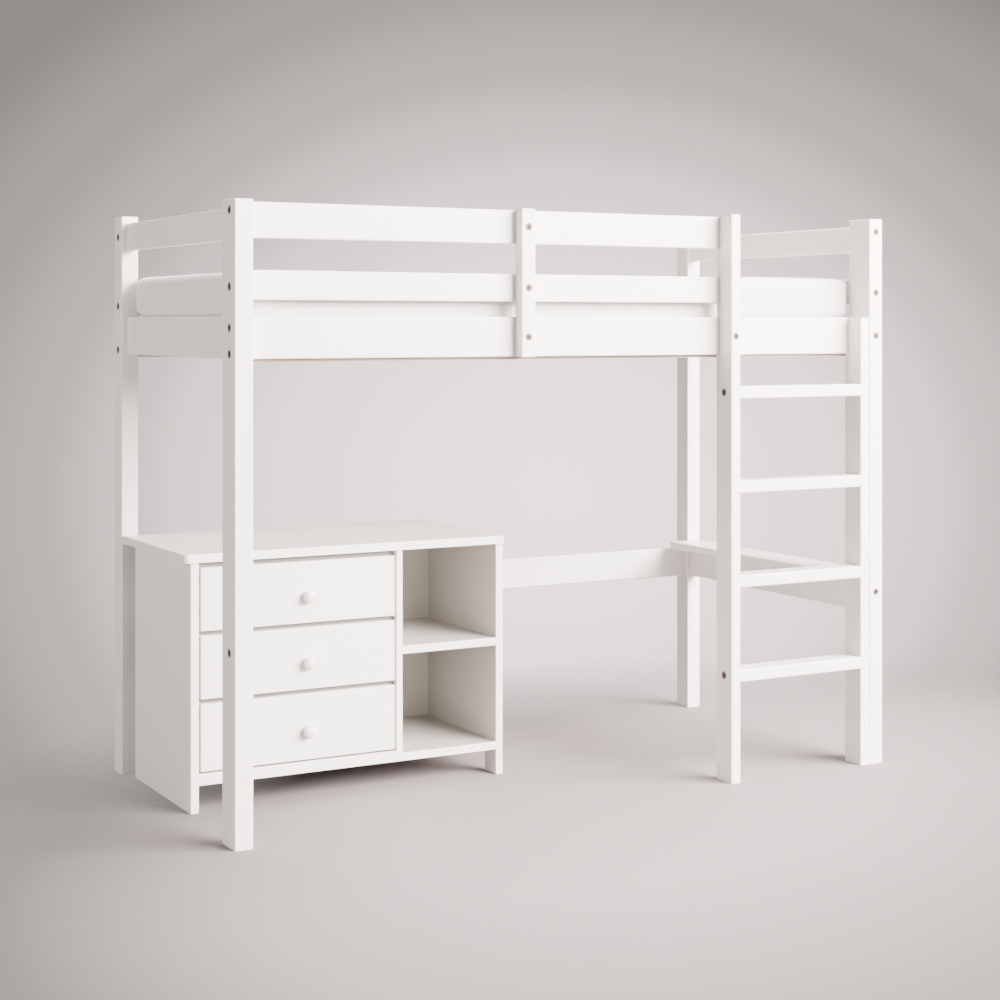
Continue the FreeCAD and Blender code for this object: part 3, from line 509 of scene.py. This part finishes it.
# Bare pine at the mouths of the bolt holes, darkened by painted shade.
DRILLED_PINE_SHADED = BarePine("drilled_pine", (0.25, 0.20, 0.145), (0.16, 0.12, 0.08))


class Finishes:
    """All the materials of the bed, made once and shared."""

    def __init__(self) -> None:
        """Make every material."""
        # The paint inside the bays, with painted shade over it.
        bay_paint = SatinPaint("bay_paint", painted_shade=BayPaintedShade())
        self.paint = {axis: SatinPaint().build(axis) for axis in GrainAxis}
        self.bay_shaded = {axis: bay_paint.build(axis) for axis in GrainAxis}
        self.panel = PANEL_PAINT_AND_SHADE.build(GrainAxis.X)
        self.recess_shade = RECESS_SHADE_PAINT.build(GrainAxis.X)
        self.pine = {axis: BarePine().build(axis) for axis in GrainAxis}
        self.drilled_shaded = DRILLED_PINE_SHADED.build(GrainAxis.Z)
        self.cloth = MattressCloth().build()
        self.steel = BoltSteel().build()


def mesh_object(name: str, mesh: bpy.types.Mesh) -> bpy.types.Object:
    """Put a mesh into the scene as an object at the origin.

    Args:
        name: The object's name.
        mesh: Its mesh, already in place.

    Returns:
        The object.
    """
    piece = bpy.data.objects.new(name, mesh)
    bpy.context.scene.collection.objects.link(piece)
    return piece


def finished_mesh(name: str, work: bmesh.types.BMesh) -> bpy.types.Mesh:
    """Keep a mesh under construction, and free it.

    Args:
        name: The kept mesh's name.
        work: The mesh under construction.

    Returns:
        The kept mesh.
    """
    mesh = bpy.data.meshes.new(name)
    work.to_mesh(mesh)
    work.free()
    return mesh


def smooth(mesh: bpy.types.Mesh, angle: float) -> None:
    """Shade a mesh smoothly, with sharp edges where its faces turn by more than an angle in degrees."""
    mesh.polygons.foreach_set("use_smooth", [True] * len(mesh.polygons))
    mesh.set_sharp_from_angle(angle=math.radians(angle))


def ease(value: float, start: float, end: float) -> float:
    """Go softly from 0 to 1.

    Args:
        value: The value to read.
        start: Where the result is 0.
        end: Where the result is 1; it may lie below the start.

    Returns:
        The eased share.
    """
    share = min(max((value - start) / (end - start), 0.0), 1.0)
    return share * share * (3 - 2 * share)


def reach(corners: Sequence[Vector]) -> tuple[Vector, Vector]:
    """The low and high corner of the box around some points."""
    return (Vector(tuple(min(c[i] for c in corners) for i in range(3))),
            Vector(tuple(max(c[i] for c in corners) for i in range(3))))


def middle(corners: Sequence[Vector]) -> Vector:
    """The middle of the box around some points."""
    low, high = reach(corners)
    return (low + high) / 2


def islands(node: str) -> list[list[Vector]]:
    """The separate solids of a frame node, whose loose triangles are joined in a copy first.

    Args:
        node: The node's name.

    Returns:
        Each solid's corners, ordered by its place.
    """
    work = bmesh.new()
    work.from_mesh(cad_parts[node].data)
    bmesh.ops.remove_doubles(work, verts=work.verts, dist=MERGE_GAP)
    seen: set[int] = set()
    found: list[list[Vector]] = []
    for start in work.verts:
        if start.index in seen:
            continue
        seen.add(start.index)
        queue, corners = [start], []
        while queue:
            vertex = queue.pop()
            corners.append(vertex.co.copy())
            for edge in vertex.link_edges:
                other = edge.other_vert(vertex)
                if other.index not in seen:
                    seen.add(other.index)
                    queue.append(other)
        found.append(corners)
    work.free()
    return sorted(found, key=lambda corners: tuple(round(x, 4) for x in middle(corners)))


def eased_box(name: str, size: Vector, centre: Vector, edge: float) -> bpy.types.Mesh:
    """A box with round edges.

    Args:
        name: The mesh's name.
        size: Its length along each axis.
        centre: Its middle.
        edge: The radius of its edges in millimetres.

    Returns:
        The mesh.
    """
    work = bmesh.new()
    bmesh.ops.create_cube(work, size=1.0)
    bmesh.ops.scale(work, vec=size, verts=work.verts)
    bmesh.ops.translate(work, vec=centre, verts=work.verts)
    bmesh.ops.bevel(work, geom=list(work.edges), offset=edge * MILLIMETRE, segments=EDGE_STEPS,
                    profile=ROUND_EDGE, affect="EDGES")
    return finished_mesh(name, work)


def ringed_mesh(name: str, rings: Sequence[Sequence[Vector]], filled: Sequence[int] = (0, -1),
                hoop: bool = False) -> bpy.types.Mesh:
    """A mesh lofted through rings of equal count.

    Args:
        name: The mesh's name.
        rings: The rings, each a closed loop of points.
        filled: The numbers of the rings that are closed with a face.
        hoop: Whether the last ring joins the first.

    Returns:
        The mesh, its faces pointing outwards.
    """
    work = bmesh.new()
    loops = [[work.verts.new(point) for point in ring] for ring in rings]
    for low, high in zip(loops, loops[1:] + loops[:1] if hoop else loops[1:]):
        for number in range(len(low)):
            following = (number + 1) % len(low)
            work.faces.new((low[number], low[following], high[following], high[number]))
    for number in filled:
        work.faces.new(loops[number])
    bmesh.ops.recalc_face_normals(work, faces=work.faces)
    return finished_mesh(name, work)


def circle(radius: float, height: float, sides: int) -> list[Vector]:
    """A ring of points around +Z, in the unit of its radius and height."""
    turns = (2 * math.pi * number / sides for number in range(sides))
    return [Vector((math.cos(turn) * radius, math.sin(turn) * radius, height)) for turn in turns]


def turned_rings(profile: Iterable[Pair], sides: int) -> list[list[Vector]]:
    """Rings of a turned piece around +Z, from radii and heights in millimetres."""
    return [[point * MILLIMETRE for point in circle(radius, height, sides)]
            for radius, height in profile]


def hexagon_rings(profile: Iterable[Pair], sides: int) -> list[list[Vector]]:
    """Rings of a six-sided socket around +Z.

    Args:
        profile: Half widths across its flats and heights, in millimetres.
        sides: How many points each ring has.

    Returns:
        The rings, in metres.
    """
    rings = []
    for width, height in profile:
        ring = []
        for number in range(sides):
            turn = 2 * math.pi * number / sides
            radius = width / math.cos((turn + SIXTH_TURN / 2) % SIXTH_TURN - SIXTH_TURN / 2)
            point = Vector((math.cos(turn) * radius, math.sin(turn) * radius, height))
            ring.append(point * MILLIMETRE)
        rings.append(ring)
    return rings


class Scatter:
    """A node tree that repeats one shape at points, each turned to a direction of its own."""

    def __init__(self, name: str) -> None:
        """Build the tree.

        Args:
            name: The tree's name.
        """
        self.tree = bpy.data.node_groups.new(name, "GeometryNodeTree")
        sockets = (("Points", "INPUT", "NodeSocketGeometry"), ("Shape", "INPUT", "NodeSocketObject"),
                   ("Size", "INPUT", "NodeSocketFloat"), ("Finish", "INPUT", "NodeSocketMaterial"),
                   ("Geometry", "OUTPUT", "NodeSocketGeometry"))
        self.sockets = {label: self.tree.interface.new_socket(name=label, in_out=way, socket_type=kind)
                        for label, way, kind in sockets}
        work = NodeWork(self.tree)
        source = work.add("NodeGroupInput").outputs
        shape = work.add("GeometryNodeObjectInfo", {"Object": source["Shape"]})
        facing = work.add("GeometryNodeInputNamedAttribute", {"Name": "facing"},
                          data_type="FLOAT_VECTOR")
        turn = work.add("FunctionNodeAlignRotationToVector",
                        {"Vector": facing.outputs["Attribute"]}, axis="Z")
        copies = work.add("GeometryNodeInstanceOnPoints",
                          {"Points": source["Points"], "Instance": shape.outputs["Geometry"],
                           "Rotation": turn.outputs["Rotation"], "Scale": source["Size"]})
        real = work.add("GeometryNodeRealizeInstances", {"Geometry": copies.outputs["Instances"]})
        dressed = work.add("GeometryNodeSetMaterial",
                           {"Geometry": real.outputs["Geometry"], "Material": source["Finish"]})
        work.add("NodeGroupOutput", {"Geometry": dressed.outputs["Geometry"]})

    def make(self, name: str, shape: bpy.types.Mesh, spots: Sequence[Spot],
             finish: bpy.types.Material, size: float = 1.0) -> bpy.types.Object:
        """Repeat a shape and turn the result into a plain mesh.

        Args:
            name: The new piece's name.
            shape: The shape, standing on the origin and looking along +Z.
            spots: Where each copy stands and which way it looks.
            finish: The material of all copies.
            size: A scale for all copies.

        Returns:
            The piece, at the origin.
        """
        model = mesh_object(f"{name}_shape", shape)
        points = bpy.data.meshes.new(f"{name}_points")
        points.from_pydata([spot for spot, _ in spots], [], [])
        facing = points.attributes.new("facing", "FLOAT_VECTOR", "POINT")
        facing.data.foreach_set("vector", [x for _, way in spots for x in way])
        carrier = mesh_object(f"{name}_carrier", points)
        modifier = carrier.modifiers.new("scatter", "NODES")
        modifier.node_group = self.tree
        modifier[self.sockets["Shape"].identifier] = model
        modifier[self.sockets["Size"].identifier] = size
        modifier[self.sockets["Finish"].identifier] = finish
        graph = bpy.context.evaluated_depsgraph_get()
        mesh = bpy.data.meshes.new_from_object(carrier.evaluated_get(graph))
        mesh.name = name
        for left_over in (carrier, model):
            bpy.data.objects.remove(left_over)
        return mesh_object(name, mesh)


def dress(node: str, finish: bpy.types.Material) -> None:
    """Give a frame node one material.

    Args:
        node: The node's name.
        finish: Its material.
    """
    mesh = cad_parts[node].data
    mesh.materials.clear()
    mesh.materials.append(finish)
    LOG.info("dressed %s with %s", node, finish.name)


def settle(piece: bpy.types.Object, body: str, slot: Slot, *nodes: str) -> bpy.types.Object:
    """Fix a finished piece to its body and hide the frame nodes that it stands for.

    Args:
        piece: The piece, at the origin.
        body: The body it moves with.
        slot: The record's material slot; not used.
        nodes: The frame nodes that it replaces.

    Returns:
        The same piece.
    """
    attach(piece, body)
    if nodes:
        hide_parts(*nodes)
    LOG.info("built %s on %s, %d faces", piece.name, body, len(piece.data.polygons))
    return piece


@dataclass
class BedFrame:
    """The posts, rails and slatted base of the bed."""

    finishes: Finishes
    scatter: Scatter
    along: tuple[str, ...] = ("front_bed_rail", "front_guard_rail_upper", "front_guard_rail_lower",
                              "back_bed_rail", "back_stop_rail", "back_lower_rail")
    across: tuple[str, ...] = ("left_end_bed_rail", "left_end_guard_rail", "right_end_bed_rail",
                               "right_end_guard_rail_upper", "right_end_guard_rail_lower",
                               "right_end_lower_rail", "end_ledge")
    upright: tuple[str, ...] = ("front_left_post", "front_right_post", "back_left_post",
                                "back_right_post", "guard_post")
    battens: tuple[str, ...] = ("slat_batten_front", "slat_batten_back")
    slat_edge: float = 3.0
    slat_angle: float = 40.0

    def dress_rails(self) -> None:
        """Paint the rails and posts, each with the grain along its length."""
        for axis, nodes in zip(GrainAxis, (self.along, self.across, self.upright)):
            for node in nodes:
                dress(node, self.finishes.paint[axis])
        for node in self.battens:
            dress(node, self.finishes.pine[GrainAxis.X])

    def build_slats(self) -> None:
        """Lay slats with eased edges where the frame has plain ones."""
        found = islands("bed_slats")
        low, high = reach(found[0])
        slat = eased_box("slat", high - low, Vector((0, 0, 0)), self.slat_edge)
        spots = [(middle(corners), UP) for corners in found]
        slats = self.scatter.make("eased_slats", slat, spots, self.finishes.pine[GrainAxis.Y])
        smooth(slats.data, self.slat_angle)
        settle(slats, FRAME_BODY, Slot.PINE, "bed_slats")

    def build(self) -> None:
        """Dress and build everything on the bed frame."""
        self.dress_rails()
        self.build_slats()


@dataclass
class Ladder:
    """The fixed ladder at the right."""

    finishes: Finishes
    stiles: tuple[str, ...] = ("ladder_stile_left", "ladder_stile_right")
    rungs: tuple[str, ...] = tuple(f"ladder_rung_{n}" for n in range(1, RUNG_COUNT + 1))

    def build(self) -> None:
        """Paint the stiles and the rungs."""
        for axis, nodes in ((GrainAxis.Z, self.stiles), (GrainAxis.X, self.rungs)):
            for node in nodes:
                dress(node, self.finishes.paint[axis])


@dataclass
class Fastenings:
    """The bolts with their bare wood rims darkened by painted shade, the guard rail screws and the barrel
    nuts.
    """

    finishes: Finishes
    scatter: Scatter
    sides: int = 24
    end_slack: float = 0.5
    edge_angle: float = 35.0
    head: Profile = ((8.4, -6.0), (8.4, 0.0), (8.2, 0.5), (7.6, 0.85), (6.4, 1.0))
    socket: Profile = ((3.6, 1.0), (3.1, 0.5), (3.1, -3.0))
    rim: Profile = ((8.75, -3.0), (8.75, 0.8), (8.95, 1.05), (9.6, 1.25), (10.4, 1.2), (10.6, 1.02))
    end_rim: Profile = ((8.75, -3.0), (8.75, 0.8), (8.95, 1.05), (9.6, 1.2), (11.7, 1.2),
                        (12.0, 1.02))
    screw_head: Profile = ((2.6, -3.6), (4.8, -0.4), (4.8, 0.0), (4.4, 0.15))
    screw_socket: Profile = ((1.9, 0.15), (1.7, -0.1), (1.6, -1.8))

    def width_at(self, corners: Sequence[Vector], axis: int, end: float) -> float:
        """How wide a bolt or screw is at one of its ends.

        Args:
            corners: Its corners.
            axis: The number of the axis that it lies along.
            end: The end's place on that axis.

        Returns:
            The largest distance from its middle line there.
        """
        centre = middle(corners)
        slack = self.end_slack * MILLIMETRE
        offsets = [corner - centre for corner in corners if abs(corner[axis] - end) < slack]
        for offset in offsets:
            offset[axis] = 0.0
        return max(offset.length for offset in offsets)

    def heads(self, node: str) -> list[Spot]:
        """Where the heads of a node's bolts or screws are, and which way they look.

        Args:
            node: The frame node that holds them.

        Returns:
            The middle of each head's face and its outward direction.
        """
        spots = []
        for corners in islands(node):
            low, high = reach(corners)
            axis = max(range(3), key=lambda number: high[number] - low[number])
            low_width, high_width = (self.width_at(corners, axis, end[axis]) for end in (low, high))
            end, sign = (low, -1.0) if low_width > high_width else (high, 1.0)
            spot, way = (low + high) / 2, Vector((0, 0, 0))
            spot[axis], way[axis] = end[axis], sign
            spots.append((spot, way))
        return spots

    def build_heads(self, name: str, node: str, head: Profile, socket: Profile) -> list[Spot]:
        """Build round heads with six-sided sockets in place of a node's plain ones.

        Args:
            name: The new piece's name.
            node: The frame node that holds the bolts or screws.
            head: Radii and heights of a head.
            socket: Half widths and heights of its socket.

        Returns:
            Where the heads are and which way they look.
        """
        spots = self.heads(node)
        rings = turned_rings(head, self.sides) + hexagon_rings(socket, self.sides)
        shape = ringed_mesh(f"{name}_shape", rings)
        piece = self.scatter.make(name, shape, spots, self.finishes.steel)
        smooth(piece.data, self.edge_angle)
        settle(piece, FRAME_BODY, Slot.STEEL, node)
        return spots

    def build_rims(self, name: str, profile: Profile, spots: Sequence[Spot]) -> None:
        """Line the mouths of bolt holes with thin rings of bare wood, darkened by painted shade.

        Args:
            name: The new piece's name.
            profile: Radii and heights of a ring.
            spots: Where the holes are and which way they look.
        """
        shape = ringed_mesh(f"{name}_shape", turned_rings(profile, self.sides), filled=(), hoop=True)
        rims = self.scatter.make(name, shape, spots, self.finishes.drilled_shaded)
        smooth(rims.data, self.edge_angle)
        settle(rims, FRAME_BODY, Slot.PINE)

    def build(self) -> None:
        """Build the bolts, their rims and the screws, and dress the nuts."""
        spots = self.build_heads("socket_bolts", "frame_bolts", self.head, self.socket)
        at_ends = [spot for spot in spots if spot[1].x]
        self.build_rims("bolt_hole_rims", self.rim, [spot for spot in spots if not spot[1].x])
        self.build_rims("end_bolt_hole_rims", self.end_rim, at_ends)
        self.build_heads("guard_screw_heads", "guard_screws", self.screw_head, self.screw_socket)
        dress("barrel_nuts", self.finishes.steel)


@dataclass
class Mattress:
    """The mattress: swollen by its filling, flat where it lies on the slats.

    Lengths are in millimetres. Places along the bed and across it are in metres.
    """

    finishes: Finishes
    node: str = "mattress"
    name: str = "filled_mattress"
    shrink: float = 1.0
    edge: float = 14.0
    voxel: float = 14.0
    pressure: float = 4.0
    stiffness: float = 25.0
    bending: float = 2.0
    frames: int = 20
    cap: float = 7.0
    fill: float = 0.9
    rest_gap: float = 0.4
    left_lean: float = 26.0
    right_lean: float = 10.0
    front_lean: float = 15.0
    lean_start: float = 55.5
    lean_rise: float = 13.0
    lean_reach: float = 70.0
    gate: Pair = (0.535, 0.62)
    left_free: Pair = (-0.395, 0.452)
    right_free: Pair = (-0.424, 0.452)
    free_ease: float = 0.016
    left_room: float = 27.0
    right_room: float = 13.0
    post_room: float = 3.5
    side_room: float = 6.0
    smooth_angle: float = 60.0

    def blank(self) -> bpy.types.Object:
        """The cover before it is filled: the mattress's box with eased edges and an even mesh.

        Returns:
            The piece, at the origin.
        """
        low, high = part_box(self.node)
        inset = Vector((1, 1, 1)) * 2 * self.shrink * MILLIMETRE
        mesh = eased_box(self.name, high - low - inset, (low + high) / 2, self.edge)
        piece = mesh_object(self.name, mesh)
        remesh = piece.modifiers.new("even", "REMESH")
        remesh.mode = "VOXEL"
        remesh.voxel_size = self.voxel * MILLIMETRE
        remesh.use_smooth_shade = True
        self.apply(piece)
        return piece

    def apply(self, piece: bpy.types.Object) -> None:
        """Make what the modifiers give the piece's own mesh, and remove them.

        Args:
            piece: The piece with the modifiers.
        """
        graph = bpy.context.evaluated_depsgraph_get()
        mesh = bpy.data.meshes.new_from_object(piece.evaluated_get(graph))
        piece.modifiers.clear()
        old, piece.data = piece.data, mesh
        mesh.name = old.name
        bpy.data.meshes.remove(old)

    def swell(self, piece: bpy.types.Object) -> None:
        """Let the filling press the cover out, no further than the cap allows.

        Args:
            piece: The cover.
        """
        rest = [vertex.co.copy() for vertex in piece.data.vertices]
        cloth = piece.modifiers.new("filling", "CLOTH")
        cloth.settings.use_pressure = True
        cloth.settings.uniform_pressure_force = self.pressure
        cloth.settings.effector_weights.gravity = 0.0
        cloth.settings.tension_stiffness = self.stiffness
        cloth.settings.compression_stiffness = self.stiffness
        cloth.settings.bending_stiffness = self.bending
        cloth.collision_settings.use_self_collision = False
        cloth.point_cache.frame_end = self.frames
        for number in range(1, self.frames + 1):
            bpy.context.scene.frame_set(number)
        self.apply(piece)
        bpy.context.scene.frame_set(1)
        limit = self.cap * MILLIMETRE
        for vertex, start in zip(piece.data.vertices, rest):
            moved = vertex.co - start
            if moved.length > limit:
                vertex.co = start + moved.normalized() * limit

    def above(self, place: Vector, low: Vector) -> float:
        """How far a point stands above the bed rails, from 0 to 1."""
        start = low.z + self.lean_start * MILLIMETRE
        return ease(place.z, start, start + self.lean_rise * MILLIMETRE)

    def free(self, place: Vector, span: Pair) -> float:
        """How free of the posts a point is, from 0 to 1."""
        return ease(min(place.y - span[0], span[1] - place.y), 0.0, self.free_ease)

    def lean(self, piece: bpy.types.Object) -> None:
        """Let the cover lean over the rails wherever no guard rail or post holds it back.

        Args:
            piece: The cover.
        """
        low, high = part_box(self.node)
        inner = self.lean_reach * MILLIMETRE
        for vertex in piece.data.vertices:
            place = vertex.co
            above = self.above(place, low) * MILLIMETRE
            left = ease(place.x, low.x + inner, low.x) * self.free(place, self.left_free)
            right = ease(place.x, high.x - inner, high.x) * self.free(place, self.right_free)
            front = ease(place.x, *self.gate) * ease(place.y, low.y + inner, low.y)
            place.x += (self.right_lean * right - self.left_lean * left) * above
            place.y -= self.front_lean * front * above

    def lay(self, piece: bpy.types.Object) -> None:
        """Flatten what touches the slats, and keep the sides clear of the rails and the posts.

        Args:
            piece: The cover.
        """
        low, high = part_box(self.node)
        floor = low.z + self.rest_gap * MILLIMETRE
        post, side = self.post_room * MILLIMETRE, self.side_room * MILLIMETRE
        for vertex in piece.data.vertices:
            place = vertex.co
            place.z = max(place.z, floor)
            above = self.above(place, low)
            lip = self.front_lean * MILLIMETRE * above * ease(place.x, *self.gate)
            place.y = min(max(place.y, low.y - side - lip), high.y + side)
            left = (self.left_room * MILLIMETRE - post) * above * self.free(place, self.left_free)
            right = (self.right_room * MILLIMETRE - post) * above * self.free(place, self.right_free)
            place.x = min(max(place.x, low.x - post - left), high.x + post + right)

    def build(self) -> None:
        """Build the mattress and put it in place of the frame's plain one."""
        piece = self.blank()
        self.swell(piece)
        self.lean(piece)
        self.lay(piece)
        finer = piece.modifiers.new("finer", "SUBSURF")
        finer.levels = finer.render_levels = 1
        self.apply(piece)
        self.lay(piece)
        smooth(piece.data, self.smooth_angle)
        piece.data.materials.clear()
        piece.data.materials.append(self.finishes.cloth)
        settle(piece, FRAME_BODY, Slot.COVER, self.node)


@dataclass
class DrawerChest:
    """The chest under the bed: its carcass, its drawers and their turned knobs."""

    finishes: Finishes
    knob_sides: int = 48
    knob_angle: float = 50.0
    knob: Profile = (
        (13.2, 0.0), (12.6, 1.0), (12.2, 2.6), (12.5, 4.4), (13.6, 6.2), (15.4, 8.0), (17.2, 10.2),
        (18.4, 12.6), (19.0, 15.2), (18.9, 17.6), (18.1, 20.2), (16.6, 22.6), (14.2, 24.7),
        (11.0, 26.4), (7.0, 27.5), (3.0, 27.95))
    outside: dict[str, GrainAxis] = field(default_factory=lambda: {
        "chest_top": GrainAxis.X, "chest_left_side": GrainAxis.Z, "chest_base_rail": GrainAxis.X})
    around_bays: dict[str, GrainAxis] = field(default_factory=lambda: {
        "chest_right_side": GrainAxis.Z, "chest_bottom": GrainAxis.X,
        "chest_divider_panel": GrainAxis.Z, "chest_shelf": GrainAxis.X})
    bare_boards: dict[str, GrainAxis] = field(default_factory=lambda: {
        "left_side": GrainAxis.Y, "right_side": GrainAxis.Y, "back": GrainAxis.X,
        "bottom_panel": GrainAxis.X})

    def build_knob(self, name: DrawerName) -> None:
        """Turn a knob and set it on its drawer's front.

        Args:
            name: The drawer.
        """
        node, piece_name = f"{name.value}_drawer_knob", f"turned_{name.value}_knob"
        low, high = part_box(node)
        foot = Vector(((low.x + high.x) / 2, high.y, (low.z + high.z) / 2))
        rings = [[foot + Vector((point.x, -point.z, point.y)) for point in ring]
                 for ring in turned_rings(self.knob, self.knob_sides)]
        knob = mesh_object(piece_name, ringed_mesh(piece_name, rings))
        smooth(knob.data, self.knob_angle)
        knob.data.materials.append(self.finishes.paint[GrainAxis.Y])
        settle(knob, f"{name.value}_drawer", Slot.PAINT, node)

    def build_drawer(self, name: DrawerName) -> None:
        """Dress one drawer and build its knob.

        Args:
            name: The drawer.
        """
        dress(f"{name.value}_drawer_front", self.finishes.paint[GrainAxis.X])
        for board, axis in self.bare_boards.items():
            dress(f"{name.value}_drawer_{board}", self.finishes.pine[axis])
        self.build_knob(name)

    def build(self) -> None:
        """Dress the carcass and build the drawers."""
        for node, axis in self.outside.items():
            dress(node, self.finishes.paint[axis])
        # The boards around the bays carry painted shade inside the bays.
        for node, axis in self.around_bays.items():
            dress(node, self.finishes.bay_shaded[axis])
        # The back panel carries painted shade inside the bays.
        dress("chest_back_panel", self.finishes.panel)
        # The rails between the drawers carry painted shade.
        dress("chest_drawer_rails", self.finishes.recess_shade)
        dress("drawer_runners", self.finishes.pine[GrainAxis.Y])
        for name in DrawerName:
            self.build_drawer(name)


@dataclass(frozen=True)
class SoftLight:
    """A large soft light.

    It has a turn from the front to the right and a rise, both in degrees, a distance from its target, a
    size and a power.
    """

    name: str
    turn: float
    rise: float
    distance: float
    size: Pair
    power: float
    target: Place = (0.0, 0.0, 0.8)
    colour: Colour = (1.0, 0.93, 0.905)

    def hang(self) -> None:
        """Put the light in place, looking at its target."""
        turn, rise = math.radians(self.turn), math.radians(self.rise)
        level = math.cos(rise)
        way = Vector((math.sin(turn) * level, -math.cos(turn) * level, math.sin(rise)))
        data = bpy.data.lights.new(self.name, "AREA")
        data.shape = "RECTANGLE"
        data.size, data.size_y = self.size
        data.energy = self.power
        data.color = self.colour
        light = bpy.data.objects.new(self.name, data)
        bpy.context.scene.collection.objects.link(light)
        light.location = Vector(self.target) + way * self.distance
        light.rotation_euler = way.to_track_quat("Z", "Y").to_euler()
        light.visible_camera = False


@dataclass
class Studio:
    """The floor, the backdrop, the lights and the camera."""

    camera_place: Place = (-2.8014, -5.0767, 1.3588)
    camera_turn: float = -28.84
    sensor: float = 36.0
    lens: float = 67.91
    shift: float = -0.176
    lamps: tuple[SoftLight, ...] = (
        SoftLight("key", 36.0, 22.0, 6.5, (6.0, 3.4), 5000.0),
        SoftLight("top", 0.0, 82.0, 4.2, (4.4, 3.2), 400.0, (0.8, 0.0, 0.8)),
        SoftLight("back", 168.0, 52.0, 6.0, (4.0, 3.0), 480.0),
        SoftLight("left_fill", -88.0, 7.0, 2.6, (2.2, 1.8), 88.0, (-1.05, 0.0, 0.9)))
    floor_radii: Pair = (9.0, 4.5)
    floor_sides: int = 96
    floor_height: float = -0.0004
    even_colour: Colour = (1.0, 0.985, 0.97)
    ambient: float = 0.3
    glow_turn: float = 30.5
    glow_drop: float = 6.0
    glow_reach: float = 60.0
    glow_squash: float = 1.2
    glow: tuple[tuple[float, Colour], ...] = (
        (0.0, (2.95, 2.6, 2.5)), (4.0, (2.66, 2.35, 2.26)), (8.0, (2.22, 1.97, 1.9)),
        (11.0, (1.62, 1.45, 1.4)), (13.0, (1.12, 1.01, 0.97)), (15.5, (0.73, 0.66, 0.625)),
        (18.5, (0.50, 0.455, 0.43)), (22.5, (0.31, 0.286, 0.27)), (26.5, (0.33, 0.305, 0.288)),
        (40.0, (0.66, 0.61, 0.58)), (60.0, (0.74, 0.685, 0.655)))

    def build_floor(self) -> None:
        """A round floor just under the feet."""
        rings = [circle(radius, self.floor_height, self.floor_sides) for radius in self.floor_radii]
        mesh = ringed_mesh("studio_floor", rings, filled=(-1,))
        if mesh.polygons[0].normal.z < 0:
            mesh.flip_normals()
        mesh.materials.append(StudioFloor().build())
        floor = mesh_object("studio_floor", mesh)

    def build_backdrop(self) -> None:
        """A world that is pale behind the bed and darker above, and that lights all sides evenly."""
        world = bpy.data.worlds.new("studio_backdrop")
        bpy.context.scene.world = world
        world.use_nodes = True
        world.node_tree.nodes.clear()
        work = NodeWork(world.node_tree)
        turn, drop = math.radians(self.glow_turn), math.radians(self.glow_drop)
        level = math.cos(drop)
        heading = (math.sin(turn) * level, math.cos(turn) * level, -math.sin(drop))
        place = work.add("ShaderNodeTexCoord").outputs["Generated"]
        squashed = work.vectors("MULTIPLY", place, (1.0, 1.0, self.glow_squash))
        unit = work.vectors("NORMALIZE", squashed)
        angle = work.numbers("ARCCOSINE", work.vectors("DOT_PRODUCT", unit, heading, output="Value"))
        share = work.span(angle, 0.0, 1.0, start=0.0, end=math.radians(self.glow_reach))
        colour = work.add("ShaderNodeValToRGB", {"Fac": share})
        colour.color_ramp.interpolation = "EASE"
        stops = colour.color_ramp.elements
        while len(stops) < len(self.glow):
            stops.new(1.0)
        for stop, (away, tone) in zip(stops, self.glow):
            stop.position = away / self.glow_reach
            stop.color = (*tone, 1.0)
        seen = work.add("ShaderNodeBackground", {"Color": colour.outputs["Color"]})
        even = work.add("ShaderNodeBackground",
                        {"Color": (*self.even_colour, 1.0), "Strength": self.ambient})
        path = work.add("ShaderNodeLightPath")
        chosen = work.add("ShaderNodeMixShader",
                          {"Fac": path.outputs["Is Camera Ray"], 1: even.outputs["Background"],
                           2: seen.outputs["Background"]})
        work.add("ShaderNodeOutputWorld", {"Surface": chosen.outputs["Shader"]})

    def build_lights(self) -> None:
        """Hang every soft light."""
        for lamp in self.lamps:
            lamp.hang()

    def build_camera(self) -> None:
        """A level camera at the photograph's viewing angle."""
        data = bpy.data.cameras.new("camera")
        data.sensor_width = self.sensor
        data.lens = self.lens
        data.shift_y = self.shift
        camera = bpy.data.objects.new("camera", data)
        bpy.context.scene.collection.objects.link(camera)
        camera.location = self.camera_place
        camera.rotation_euler = (math.radians(90), 0.0, math.radians(self.camera_turn))
        bpy.context.scene.camera = camera

    def build(self) -> None:
        """Set up the whole studio."""
        self.build_floor()
        self.build_backdrop()
        self.build_lights()
        self.build_camera()


def main() -> None:
    logging.basicConfig(level=logging.INFO, format="%(message)s")
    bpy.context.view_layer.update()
    finishes = Finishes()
    scatter = Scatter("repeat_at_points")
    builders: tuple[Callable[[], None], ...] = (
        Studio().build,
        BedFrame(finishes, scatter).build,
        Ladder(finishes).build,
        Fastenings(finishes, scatter).build,
        Mattress(finishes).build,
        DrawerChest(finishes).build,
    )
    for build in builders:
        build()


if __name__ == "__main__":
    main()
